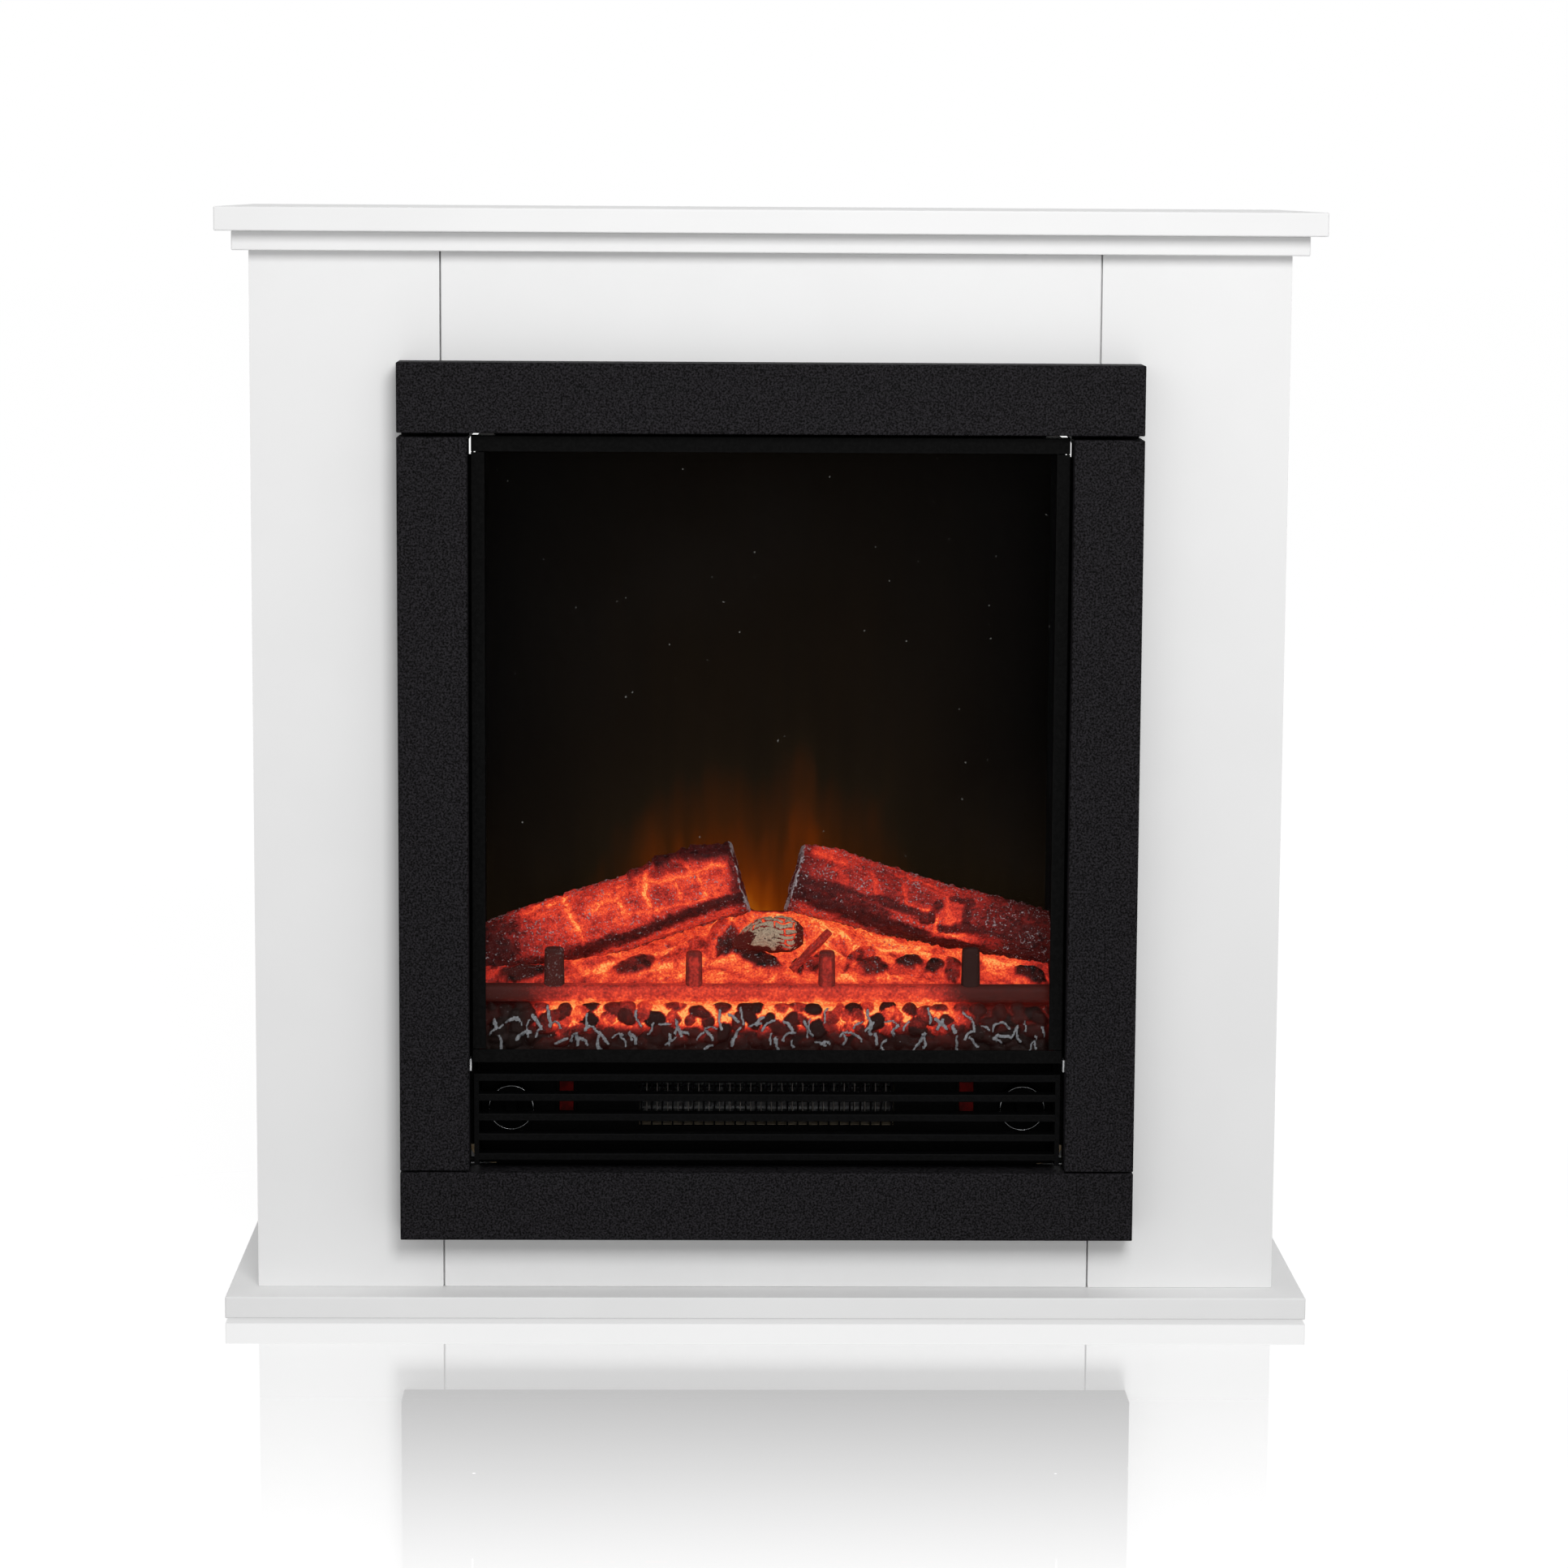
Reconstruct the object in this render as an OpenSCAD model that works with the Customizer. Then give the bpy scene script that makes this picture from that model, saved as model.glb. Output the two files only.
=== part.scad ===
// Freestanding electric fireplace: a white board surround with an inset log-effect fan heater.
// Millimetres. +Z is up and the front faces -Y. The origin is on the floor, under the middle of the object.

/* [Surround] */
// Width of the body between its side faces
body_w = 700; // [640:1:900]
// Depth of the body, without the overhangs
body_d = 240; // [225:1:320]
// Height of the body between base plate and cornice
body_h = 710; // [680:1:900]
// How far shelf and base plate stand proud at each side
side_overhang = 20; // [12:1:40]
// How far shelf and base plate stand proud in front
front_overhang = 30; // [20:1:50]
// Thickness of the base plate
base_t = 15; // [12:0.5:25]
// Thickness of the cornice board under the shelf
cornice_t = 13; // [10:0.5:25]
// How far the cornice board stands proud in front and at the sides
cornice_overhang = 10; // [4:1:18]
// Thickness of the mantel shelf
shelf_t = 16; // [12:0.5:30]
// Thickness of the front and side boards
board_t = 16; // [12:1:22]
// Width of the middle front panel, between the two joint lines
centre_w = 445; // [430:1:470]
// Width of each joint line in the front
joint_gap = 1; // [0.5:0.1:2]
// Depth of each joint line in the front
joint_depth = 4; // [2:0.5:8]
// Rounding of the shelf, cornice and base edges
edge_r = 1; // [0.5:0.1:2]
// Height of the two rear rails
rail_h = 80; // [40:1:120]
// Side of a corner block
block_s = 24; // [18:1:36]
// Thickness of the floor glides
glide_t = 1.5; // [1:0.1:4]
// Radius of a floor glide
glide_r = 12; // [8:0.5:15]

/* [Trim frame] */
// Outer width of the trim frame
frame_w = 500; // [490:1:540]
// Outer height of the trim frame
frame_h = 597; // [590:1:620]
// How far the trim frame stands out of the surround
frame_d = 30; // [28:0.5:40]
// Height of the trim frame above the base plate
frame_lift = 40; // [30:1:60]
// Width of each trim bar
bar_w = 47; // [44:0.5:50]
// Sheet thickness of the trim bars
trim_t = 1.5; // [1:0.1:2]
// Rounding of the front edges of the trim bars
trim_r = 1; // [0.5:0.1:3]
// Gap between the top bar and the side bars
top_gap = 2.8; // [0.5:0.1:4]
// Gap between the bottom bar and the side bars
bottom_gap = 1.2; // [0.5:0.1:2]

/* [Glass frame] */
// Gap between the trim bars and the glass frame
glass_gap = 2.2; // [1:0.1:3]
// How far the glass frame stands out of the surround
glass_out = 20; // [18:0.5:24]
// Visible width of the side strips
strip_w = 9; // [7:0.5:12]
// Visible height of the top strip
top_strip_h = 10.5; // [8:0.5:14]
// Visible height of the ledge under the glass
ledge_h = 9; // [7:0.5:12]
// Depth of the strips
strip_d = 14; // [11:0.5:15]
// Sheet thickness of the strips
strip_t = 1.2; // [1:0.1:1.5]
// Thickness of the glass
glass_t = 4; // [3:0.5:5]

/* [Casing] */
// Depth of the fire's casing
casing_d = 197; // [185:1:205]
// Gap between the trim bars and the casing, seen from the front
casing_gap = 5; // [4:0.5:7]
// Sheet thickness of the casing
sheet_t = 1.2; // [0.8:0.1:1.5]
// Height of the control and heater compartment, from casing floor to deck
lower_h = 73; // [70:0.5:80]
// Height of the folded rear flanges
flange_h = 12; // [10:1:16]

/* [Fuel bed] */
// Radius of the two big logs
log_r = 24; // [20:0.5:26]
// Slope of the two big logs in degrees
log_tilt = 16; // [10:1:20]
// Radius of the short log in the middle
stub_r = 11; // [8:0.5:12]
// Length of the short log in the middle
stub_l = 42; // [30:1:50]
// Wall thickness of the moulded ember bed
bed_wall = 2.5; // [2:0.1:4]
// Radius of the grate bar and its posts
grate_r = 6; // [5:0.5:7]
// Height of the grate posts above the bar's middle
post_h = 33; // [25:1:40]

/* [Flame effect] */
// Radius of the flicker spindle's rod
rod_r = 2; // [1.5:0.1:3]
// Outer radius of the flicker spindle's reflector blades
flicker_r = 17; // [12:0.5:20]
// Number of blade groups along the spindle
flicker_n = 6; // [3:1:9]
// Thickness of the flame screen
screen_t = 2; // [1.5:0.5:3]
// Number of flame cut-outs
flame_n = 7; // [5:2:9]

/* [Controls] */
// How far the control panel lies behind the surround's front face
panel_back = 15; // [14:0.5:18]
// Distance of each knob from the middle
knob_x = 175.5; // [172:0.5:178]
// Radius of the knobs
knob_r = 15.5; // [13:0.5:16]
// Thickness of the knobs
knob_t = 14; // [11:0.5:15]
// Radius of the knob shafts
shaft_r = 3; // [2.5:0.1:3.5]
// Height of the knob shafts above the casing floor
knob_up = 38; // [34:0.5:42]
// Distance of each rocker switch from the middle
rocker_x = 138; // [136:0.5:142]
// Height of the rocker switches above the casing floor
rocker_up = 43; // [36:0.5:46]
// Width of a rocker
rocker_w = 9.4; // [8:0.1:10]
// Length of a rocker
rocker_l = 20.4; // [18:0.1:21]
// Tilt of a rocker to each side of its middle position, in degrees
rocker_tilt = 9; // [5:0.5:10]

/* [Heater] */
// Width of the warm air outlet
outlet_w = 176; // [150:1:184]
// Height of the warm air outlet
outlet_h = 30; // [24:0.5:32]
// Spacing of the outlet's upright bars and of the heating ribbon
fin_pitch = 7.2; // [6:0.1:9]
// Radius of the fan rotor
fan_r = 25; // [20:0.5:26]
// Number of fan blades
blade_n = 24; // [16:1:28]
// Radius of the fan shaft
fan_shaft_r = 3; // [2.5:0.1:4]
// Radius of the fan motor
motor_r = 22; // [18:0.5:25]

/* [Flap] */
// Height of one slat
slat_h = 5.4; // [4:0.1:6]
// Spacing of the slats
slat_pitch = 13.8; // [12:0.1:14]
// Number of slats
slat_n = 5; // [4:1:5]
// Depth of the slats
slat_d = 11; // [8:0.5:11]
// Thickness of the flap's end plates
end_t = 3.2; // [2.5:0.1:4]
// Radius of the hinge pins
pin_r = 2; // [1.5:0.1:2.2]

/* [Fixings] */
// Radius of the cable hole in the gland
cable_r = 3.75; // [3:0.05:4.5]
// Distance of the cable gland from the middle
gland_x = 150; // [120:1:165]
// Radius of a casing screw's shank
screw_r = 1.9; // [1.5:0.1:2.4]
// Radius of a casing screw's head
head_r = 3.6; // [3:0.1:4.5]
// Length of the wood screws in the corner blocks
wood_screw_l = 30; // [26:1:32]
// Gap around a turning shaft or pin
run_fit = 0.06; // [0.03:0.01:0.1]
// Gap around a fixed screw, neck or bush
loose_fit = 0.2; // [0.1:0.05:0.4]

/* [Hidden] */
$fn = 48;
eps = 0.01;

// Levels of the surround
body_z0 = glide_t + base_t;
body_z1 = body_z0 + body_h;
shelf_z0 = body_z1 + cornice_t;
back_y = (body_d + front_overhang) / 2;
face_y = back_y - body_d;
plate_w = body_w + 2 * side_overhang;
plate_d = body_d + front_overhang;
inner_x = body_w / 2 - board_t;
screw_offset = block_s / 5;
screw_seat = -block_s / 4 - 1;
wood_head_h = 2.4;
wood_screw_grip = min(wood_screw_l - 3, block_s * 0.75 + 12);
// Trim frame and its opening
frame_z0 = body_z0 + frame_lift;
frame_z1 = frame_z0 + frame_h;
front_y = face_y - frame_d;
op_x = frame_w / 2 - bar_w;
op_z0 = frame_z0 + bar_w;
op_z1 = frame_z1 - bar_w;
// The board's cut-out is a little larger than the trim's opening and has round corners
cut_lap = 3;
cut_r = 18;
// Glass frame
gx = op_x - glass_gap;
gy = face_y - glass_out;
glass_y = gy + strip_t + 0.4;
gz1 = op_z1 - glass_gap;
// Casing and its levels
cx = op_x - casing_gap;
cy0 = glass_y + glass_t + 0.4;
cy1 = cy0 + casing_d;
cz0 = op_z0 + 1.5;
cz1 = gz1 - strip_t - 0.3;
deck_z = cz0 + lower_h;
ix = cx - sheet_t - 0.3;
iy1 = cy1 - sheet_t - 0.3;
lower_front_y = face_y - 4;
// Turned-out edges of the casing: they close the gap inside the board's cut-out, but for its corners
edge_y = face_y + 0.1;
edge_out = cut_lap - 0.5;
edge_cut = 12;
// Places in the flame chamber
log_y = face_y + 45;
log_end = 18;
log_l = (cx - log_end) / cos(log_tilt);
log_z = deck_z + 115;
stub_x = 3;
stub_y = face_y + 34;
stub_z = deck_z + 77;
log_cut_z = deck_z + 25;
grate_y = face_y + 2;
grate_z = deck_z + 44;
post_x = [-146, -49, 42, 141];
bed_x = ix - 2;
bed_y0 = gy + strip_d + 0.5;
bed_y1 = face_y + 78;
// Bed from front to back: depth behind its front, then height above the deck
bed_front = [[0, 33], [4, 37], [18, 37], [18, 50], [33, 60], [53, 72]];
bed_back_h = 84;
screen_y = face_y + 91;
plate_y = screen_y + 18;
spin_y = plate_y + 32;
spin_z = deck_z + 47;
spin_x = 172;
// Control panel
panel_y = face_y + panel_back;
knob_z = cz0 + knob_up;
knob_gap = 3;
knob_front = panel_y - knob_gap - knob_t;
neck_r = 5;
shaft_l = 18;
rocker_z = cz0 + rocker_up;
rocker_y = panel_y + 1.5;
rocker_pin_r = 1.2;
case_w = rocker_w + 2.6;
case_l = rocker_l + 4.6;
// Plug tabs
tab_w = 4;
tab_l = 7;
tab_t = 0.8;
// Heater
fan_y = face_y + 100;
fan_z = cz0 + 36;
fan_l = outlet_w + 8;
scroll_r = fan_r + 4.5;
scroll_t = 1.5;
scroll_x = fan_l / 2 + 1.5;
duct_y = panel_y + 38;
outlet_z = cz0 + 37;
// Flap
flap_y = gy + 1;
flap_x = op_x - 3;
pivot_y = flap_y + 4.5;
pivot_z = op_z0 + 6;
flap_top = deck_z - 8;
// Gland
gland_z = cz0 + 30;
gland_r = 6;

// Box from its lowest to its highest corner
module span(lo, hi) {
    translate(lo) cube(hi - lo);
}

module round_rect(w, h, r) {
    square([w - 2 * r, h], center = true);
    square([w, h - 2 * r], center = true);
    for (x = [-1, 1], y = [-1, 1])
        translate([x * (w / 2 - r), y * (h / 2 - r)]) circle(r);
}

// Box with all twelve edges rounded
module round_span(lo, hi, r) {
    s = hi - lo;
    translate((lo + hi) / 2)
        intersection() {
            linear_extrude(s[2], center = true) round_rect(s[0], s[1], r);
            rotate([90, 0, 0]) linear_extrude(s[1], center = true) round_rect(s[0], s[2], r);
            rotate([90, 0, 90]) linear_extrude(s[0], center = true) round_rect(s[1], s[2], r);
        }
}

// Cylinder along X or Y that starts at p
module rod_x(p, r, l) {
    translate(p) rotate([0, 90, 0]) cylinder(r = r, h = l);
}

module rod_y(p, r, l) {
    translate(p) rotate([-90, 0, 0]) cylinder(r = r, h = l);
}

// ---- Surround ----

// Places of the corner blocks: side, depth and level
module at_blocks() {
    for (side = [-1, 1], rear = [0, 1], top = [0, 1])
        scale_side(side)
            translate([inner_x - block_s / 2,
                rear ? back_y - board_t - block_s / 2 : face_y + board_t + block_s / 2,
                top ? body_z1 - block_s / 2 : body_z0 + block_s / 2])
                mirror([0, 0, top ? 0 : 1]) children();
}

module scale_side(side) {
    if (side > 0) children();
    else mirror([1, 0, 0]) children();
}

// Seats of one block's wood screws: one goes into the side board and one into the board above
module at_block_screws() {
    for (turn = [0, 1])
        rotate([0, turn ? 90 : 0, 0]) translate([0, turn ? screw_offset : -screw_offset, screw_seat]) children();
}

module block_holes() {
    at_blocks() at_block_screws() {
        cylinder(r = screw_r + loose_fit, h = wood_screw_grip + loose_fit);
        translate([0, 0, -block_s / 2]) cylinder(r = head_r + loose_fit, h = block_s / 2 + eps);
    }
}

module base_plate() {
    color("white") difference() {
        round_span([-plate_w / 2, -plate_d / 2, glide_t], [plate_w / 2, plate_d / 2, body_z0], edge_r);
        block_holes();
    }
}

module floor_glides() {
    inset = 3 * glide_r;
    color("dimgray")
        for (x = [-plate_w / 2 + inset, 0, plate_w / 2 - inset], y = [-plate_d / 2 + inset, plate_d / 2 - inset])
            translate([x, y, 0]) cylinder(r = glide_r, h = glide_t);
}

module side_panel() {
    difference() {
        span([inner_x, face_y + board_t, body_z0], [body_w / 2, back_y, body_z1]);
        block_holes();
    }
}

module left_side_panel() {
    color("white") mirror([1, 0, 0]) side_panel();
}

module right_side_panel() {
    color("white") side_panel();
}

module pilaster() {
    span([centre_w / 2, face_y, body_z0], [body_w / 2, face_y + board_t, body_z1]);
}

module left_pilaster() {
    color("white") mirror([1, 0, 0]) pilaster();
}

module right_pilaster() {
    color("white") pilaster();
}

module centre_panel() {
    color("white") difference() {
        span([-centre_w / 2, face_y, body_z0], [centre_w / 2, face_y + board_t, body_z1]);
        translate([0, face_y + board_t + 1, (op_z0 + op_z1) / 2]) rotate([90, 0, 0])
            linear_extrude(board_t + 2)
                round_rect(2 * (op_x + cut_lap), op_z1 - op_z0 + 2 * cut_lap, cut_r);
        for (side = [-1, 1])
            scale_side(side)
                span([centre_w / 2 - joint_gap, face_y - 1, body_z0 - 1],
                    [centre_w / 2 + 1, face_y + joint_depth, body_z1 + 1]);
    }
}

module cornice_board() {
    color("white") difference() {
        round_span([-body_w / 2 - cornice_overhang, face_y - cornice_overhang * 1.5, body_z1],
            [body_w / 2 + cornice_overhang, back_y, shelf_z0], edge_r);
        block_holes();
    }
}

module mantel_shelf() {
    color("white")
        round_span([-plate_w / 2, -plate_d / 2, shelf_z0], [plate_w / 2, plate_d / 2, shelf_z0 + shelf_t], edge_r);
}

module back_top_rail() {
    color("burlywood") span([-inner_x, back_y - board_t, body_z1 - rail_h], [inner_x, back_y, body_z1]);
}

module back_bottom_rail() {
    color("burlywood") span([-inner_x, back_y - board_t, body_z0], [inner_x, back_y, body_z0 + rail_h]);
}

module corner_blocks() {
    color("tan") difference() {
        at_blocks() cube(block_s, center = true);
        block_holes();
    }
}

module block_screws() {
    color("silver") at_blocks() at_block_screws() {
        cylinder(r = screw_r, h = wood_screw_grip);
        translate([0, 0, -wood_head_h]) cylinder(r = head_r, h = wood_head_h + eps);
    }
}

// ---- Trim frame ----

// Folded bar, open at the back, between two X and two Z values
module trim_bar(x0, x1, z0, z1) {
    difference() {
        round_span([x0, front_y, z0], [x1, face_y + 2 * trim_r, z1], trim_r);
        span([x0 - 1, face_y, z0 - 1], [x1 + 1, face_y + 3 * trim_r, z1 + 1]);
        span([x0 + trim_t, front_y + trim_t, z0 + trim_t], [x1 - trim_t, face_y + 1, z1 - trim_t]);
    }
}

// Two lips at its back close the gaps to the side bars
module trim_top_bar() {
    color("#1d1d1f") {
        trim_bar(-frame_w / 2, frame_w / 2, op_z1, frame_z1);
        for (side = [-1, 1])
            scale_side(side) span([op_x, face_y - trim_t, op_z1 - top_gap], [frame_w / 2 - trim_t, face_y, op_z1 + trim_t / 2]);
    }
}

module trim_bottom_bar() {
    color("#1d1d1f") trim_bar(-frame_w / 2, frame_w / 2, frame_z0, op_z0);
}

module trim_side_bar() {
    difference() {
        trim_bar(op_x, frame_w / 2, op_z0 + bottom_gap, op_z1 - top_gap);
        rod_x([op_x - 1, pivot_y, pivot_z], pin_r + run_fit, trim_t + 2);
    }
}

module trim_left_bar() {
    color("#1d1d1f") mirror([1, 0, 0]) trim_side_bar();
}

module trim_right_bar() {
    color("#1d1d1f") trim_side_bar();
}

// ---- Glass frame ----

module glass_side_strip() {
    z0 = deck_z + ledge_h + 0.5;
    z1 = gz1 - top_strip_h - 0.5;
    span([gx - strip_w, gy, z0], [gx, gy + strip_t, z1]);
    span([gx - strip_t, gy, z0], [gx, gy + strip_d, z1]);
}

module glass_left_strip() {
    color("#202022") mirror([1, 0, 0]) glass_side_strip();
}

module glass_right_strip() {
    color("#202022") glass_side_strip();
}

module glass_top_strip() {
    color("#202022") {
        span([-gx, gy, gz1 - top_strip_h], [gx, gy + strip_t, gz1]);
        span([-gx, gy, gz1 - strip_t], [gx, gy + strip_d, gz1]);
    }
}

module glass_ledge() {
    color("#202022") {
        span([-gx, gy, deck_z], [gx, gy + strip_t, deck_z + ledge_h]);
        span([-gx, gy, deck_z], [gx, gy + strip_d, deck_z + strip_t]);
    }
}

module glass_pane() {
    color([0.6, 0.7, 0.7, 0.3])
        span([-gx + strip_t + 0.5, glass_y, deck_z + strip_t],
            [gx - strip_t - 0.5, glass_y + glass_t, gz1 - strip_t - 0.3]);
}

// ---- Casing ----

// Places of the casing screws in the back: near both ends of the top and the bottom flange
module at_casing_screws() {
    for (x = [-0.85, -0.3, 0.3, 0.85], z = [cz0 + sheet_t + flange_h / 2, cz1 - sheet_t - flange_h / 2])
        translate([x * cx, cy1, z]) rotate([90, 0, 0]) children();
}

module screw_holes() {
    at_casing_screws() translate([0, 0, -1]) cylinder(r = screw_r + loose_fit, h = 8);
}

module rear_casing() {
    slot_w = 36;
    color("#2a2a2c") difference() {
        union() {
            span([-cx, cy0, cz0], [cx, cy1, cz1]);
            for (side = [-1, 1])
                scale_side(side) span([cx - eps, edge_y, cz0 + edge_cut], [op_x + edge_out, edge_y + sheet_t, cz1 - edge_cut]);
        }
        span([-cx + sheet_t, cy0 - 1, cz0 - 1], [cx - sheet_t, cy1 - sheet_t, cz1 + 1]);
        // Room for the flap and the ledge in front of the lower compartment
        span([-cx - 1, cy0 - 1, cz0 - 1], [cx + 1, lower_front_y, deck_z + strip_t + 0.3]);
        screw_holes();
        rod_y([gland_x, cy1 - 4, gland_z], gland_r + loose_fit, 8);
        // Air inlet slots of the fan
        for (i = [-2:1], k = [0:3])
            span([(i + 0.5) * (slot_w + 8) - slot_w / 2, cy1 - 5, fan_z - 14 + 9 * k],
                [(i + 0.5) * (slot_w + 8) + slot_w / 2, cy1 + 1, fan_z - 10 + 9 * k]);
        // Vents of the flame chamber
        for (i = [-2:2])
            span([i * 50 - 18, cy1 - 5, cz1 - 48], [i * 50 + 18, cy1 + 1, cz1 - 44]);
    }
}

module top_cover() {
    color("#2a2a2c") difference() {
        union() {
            span([-ix, cy0 + 0.5, cz1 - sheet_t], [ix, iy1, cz1]);
            span([-ix, iy1 - sheet_t, cz1 - sheet_t - flange_h], [ix, iy1, cz1]);
            span([edge_cut - cx, edge_y, cz1 - eps], [cx - edge_cut, edge_y + sheet_t, op_z1 + edge_out]);
        }
        screw_holes();
    }
}

module floor_pan() {
    color("#2a2a2c") difference() {
        union() {
            span([-ix, lower_front_y + 1, cz0], [ix, iy1, cz0 + sheet_t]);
            span([-ix, iy1 - sheet_t, cz0], [ix, iy1, cz0 + sheet_t + flange_h]);
            span([edge_cut - cx, edge_y, op_z0 - edge_out], [cx - edge_cut, edge_y + sheet_t, cz0 + eps]);
        }
        screw_holes();
    }
}

module chamber_deck() {
    color("#2a2a2c") difference() {
        span([-ix, cy0 + 9, deck_z - sheet_t], [ix, iy1, deck_z]);
        // Slots that let the fan's intake air leave the chamber
        for (i = [-2:1])
            span([(i + 0.5) * 44 - 15, iy1 - 16, deck_z - 3], [(i + 0.5) * 44 + 15, iy1 - 10, deck_z + 1]);
    }
}

module casing_screws() {
    head_h = 2.2;
    color("silver") at_casing_screws() translate([0, 0, -head_h]) {
        cylinder(r = head_r, h = head_h);
        cylinder(r = screw_r, h = head_h + 7);
    }
}

// ---- Fuel bed ----

// Section of the bed, Y then Z above the deck; a positive wall gives the hollow inside it
function bed_section(wall, foot) = concat(
    [[bed_y0 + wall, foot]],
    [for (p = bed_front) [bed_y0 + p[0] + wall, p[1] - wall]],
    [[bed_y1 - wall, bed_back_h - wall], [bed_y1 - wall, foot]]);

module along_x(l) {
    rotate([90, 0, 90]) linear_extrude(l, center = true) children();
}

// Body of one big log, its high end near the middle
module big_log(gap) {
    translate([log_end, log_y, log_z]) rotate([0, 90 + log_tilt, 0])
        translate([0, 0, -gap]) cylinder(r = log_r + gap, h = log_l + 2 * gap);
}

module ember_bed() {
    color("orangered") difference() {
        translate([0, 0, deck_z]) along_x(2 * bed_x) polygon(bed_section(0, 0));
        translate([0, 0, deck_z]) along_x(2 * (bed_x - bed_wall)) polygon(bed_section(bed_wall, -1));
        big_log(loose_fit);
        mirror([1, 0, 0]) big_log(loose_fit);
        stub_body(loose_fit);
    }
}

module log_solid() {
    intersection() {
        big_log(0);
        span([0, log_y - 2 * log_r, log_cut_z], [ix - 1, log_y + 2 * log_r, cz1]);
    }
}

module left_log() {
    color("brown") mirror([1, 0, 0]) log_solid();
}

module right_log() {
    color("brown") log_solid();
}

module stub_body(gap) {
    rod_x([stub_x - stub_l / 2 - gap, stub_y, stub_z], stub_r + gap, stub_l + 2 * gap);
}

module stub_log() {
    color("rosybrown") stub_body(0);
}

module grate() {
    color("#3a1512") {
        rod_x([-bed_x, grate_y, grate_z], grate_r, 2 * bed_x);
        for (x = post_x)
            translate([x, grate_y, grate_z]) {
                cylinder(r = grate_r, h = post_h - grate_r);
                translate([0, 0, post_h - grate_r]) sphere(grate_r);
            }
    }
}

// ---- Flame effect ----

module flame_screen() {
    color([0.25, 0.2, 0.2, 0.8])
        span([-ix, screen_y, deck_z], [ix, screen_y + screen_t, cz1 - sheet_t - 0.3]);
}

// Pointed flame outline from two arcs
module flame_shape(w, h) {
    r = (h * h / 4 + w * w / 4) / w;
    intersection_for (side = [-1, 1])
        translate([side * (r - w / 2), h / 2]) circle(r, $fn = 96);
}

module flame_cutout_plate() {
    step = 2 * ix / (flame_n + 1);
    flame_w = 26;
    flame_h = 150;
    flame_h_change = 60;
    flame_foot = 90;
    color("silver") difference() {
        span([-ix, plate_y, deck_z], [ix, plate_y + sheet_t, cz1 - sheet_t - 0.3]);
        for (i = [1:flame_n])
            translate([-ix + step * i, plate_y + 3, deck_z + flame_foot]) rotate([90, 0, 0])
                linear_extrude(6) flame_shape(flame_w, flame_h + flame_h_change * sin(i * 90));
    }
}

module flicker_spindle() {
    group_l = 40;
    blade_t = 0.8;
    step = (2 * spin_x - group_l) / flicker_n;
    color("gainsboro") {
        rod_x([-spin_x - 4, spin_y, spin_z], rod_r, 2 * spin_x + 12);
        for (i = [0:flicker_n - 1], k = [0:3])
            translate([-spin_x + group_l / 2 + step * (i + 0.5), spin_y, spin_z]) rotate([90 * k + 30 * i, 0, 0])
                translate([-group_l / 2, -blade_t / 2, 0]) cube([group_l, blade_t, flicker_r]);
    }
}

module spindle_motor() {
    depth = 18;
    can_r = 18;
    foot_d = 10;
    foot_t = 2;
    color("lightgray") difference() {
        union() {
            rod_x([spin_x, spin_y, spin_z], can_r, depth);
            span([spin_x, spin_y - foot_d, deck_z], [spin_x + foot_t, spin_y + foot_d, spin_z]);
            span([spin_x, spin_y - foot_d, deck_z], [spin_x + depth, spin_y + foot_d, deck_z + foot_t]);
        }
        rod_x([spin_x - 1, spin_y, spin_z], rod_r + run_fit, 12);
    }
}

module spindle_bush() {
    color("gold") difference() {
        union() {
            span([-spin_x - 2, spin_y - 8, deck_z], [-spin_x, spin_y + 8, spin_z + 8]);
            rod_x([-spin_x - 3.5, spin_y, spin_z], 5, 3.5);
        }
        rod_x([-spin_x - 5, spin_y, spin_z], rod_r + run_fit, 7);
    }
}

module led_boards() {
    circuit_l = 300;
    circuit_w = 14;
    circuit_t = 1.6;
    led_pitch = 26;
    led_r = 2.5;
    led_h = 1.5;
    color("darkgreen")
        for (y = [face_y + 32, spin_y + 26]) {
            span([-circuit_l / 2, y - circuit_w / 2, deck_z], [circuit_l / 2, y + circuit_w / 2, deck_z + circuit_t]);
            for (i = [-5:5])
                translate([i * led_pitch, y, deck_z + circuit_t - eps]) cylinder(r = led_r, h = led_h);
        }
}

// ---- Controls ----

module at_knob(side) {
    translate([side * knob_x, 0, knob_z]) children();
}

module at_rocker(side) {
    translate([side * rocker_x, 0, rocker_z]) children();
}

module control_panel() {
    color("#161617") difference() {
        span([-ix, panel_y, cz0 + sheet_t + 0.3], [ix, panel_y + sheet_t, deck_z - sheet_t - 0.3]);
        span([-outlet_w / 2, panel_y - 1, outlet_z - outlet_h / 2], [outlet_w / 2, panel_y + 3, outlet_z + outlet_h / 2]);
        for (side = [-1, 1]) {
            at_knob(side) rod_y([0, panel_y - 1, 0], neck_r + loose_fit, 4);
            at_rocker(side)
                span([-case_w / 2 - loose_fit, panel_y - 1, -case_l / 2 - loose_fit],
                    [case_w / 2 + loose_fit, panel_y + 3, case_l / 2 + loose_fit]);
        }
    }
}

// Flat plug tab that stands out of a control's back face
module tab_at(p) {
    translate(p) translate([-tab_w / 2, -1, -tab_t / 2]) cube([tab_w, tab_l + 1, tab_t]);
}

// Bearing neck and blind shaft hole that both knob controls share
module control_neck() {
    rod_y([0, panel_y - 2, 0], neck_r, 5);
}

module control_bore() {
    rod_y([0, panel_y - 3, 0], shaft_r + run_fit, 22);
}

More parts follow.
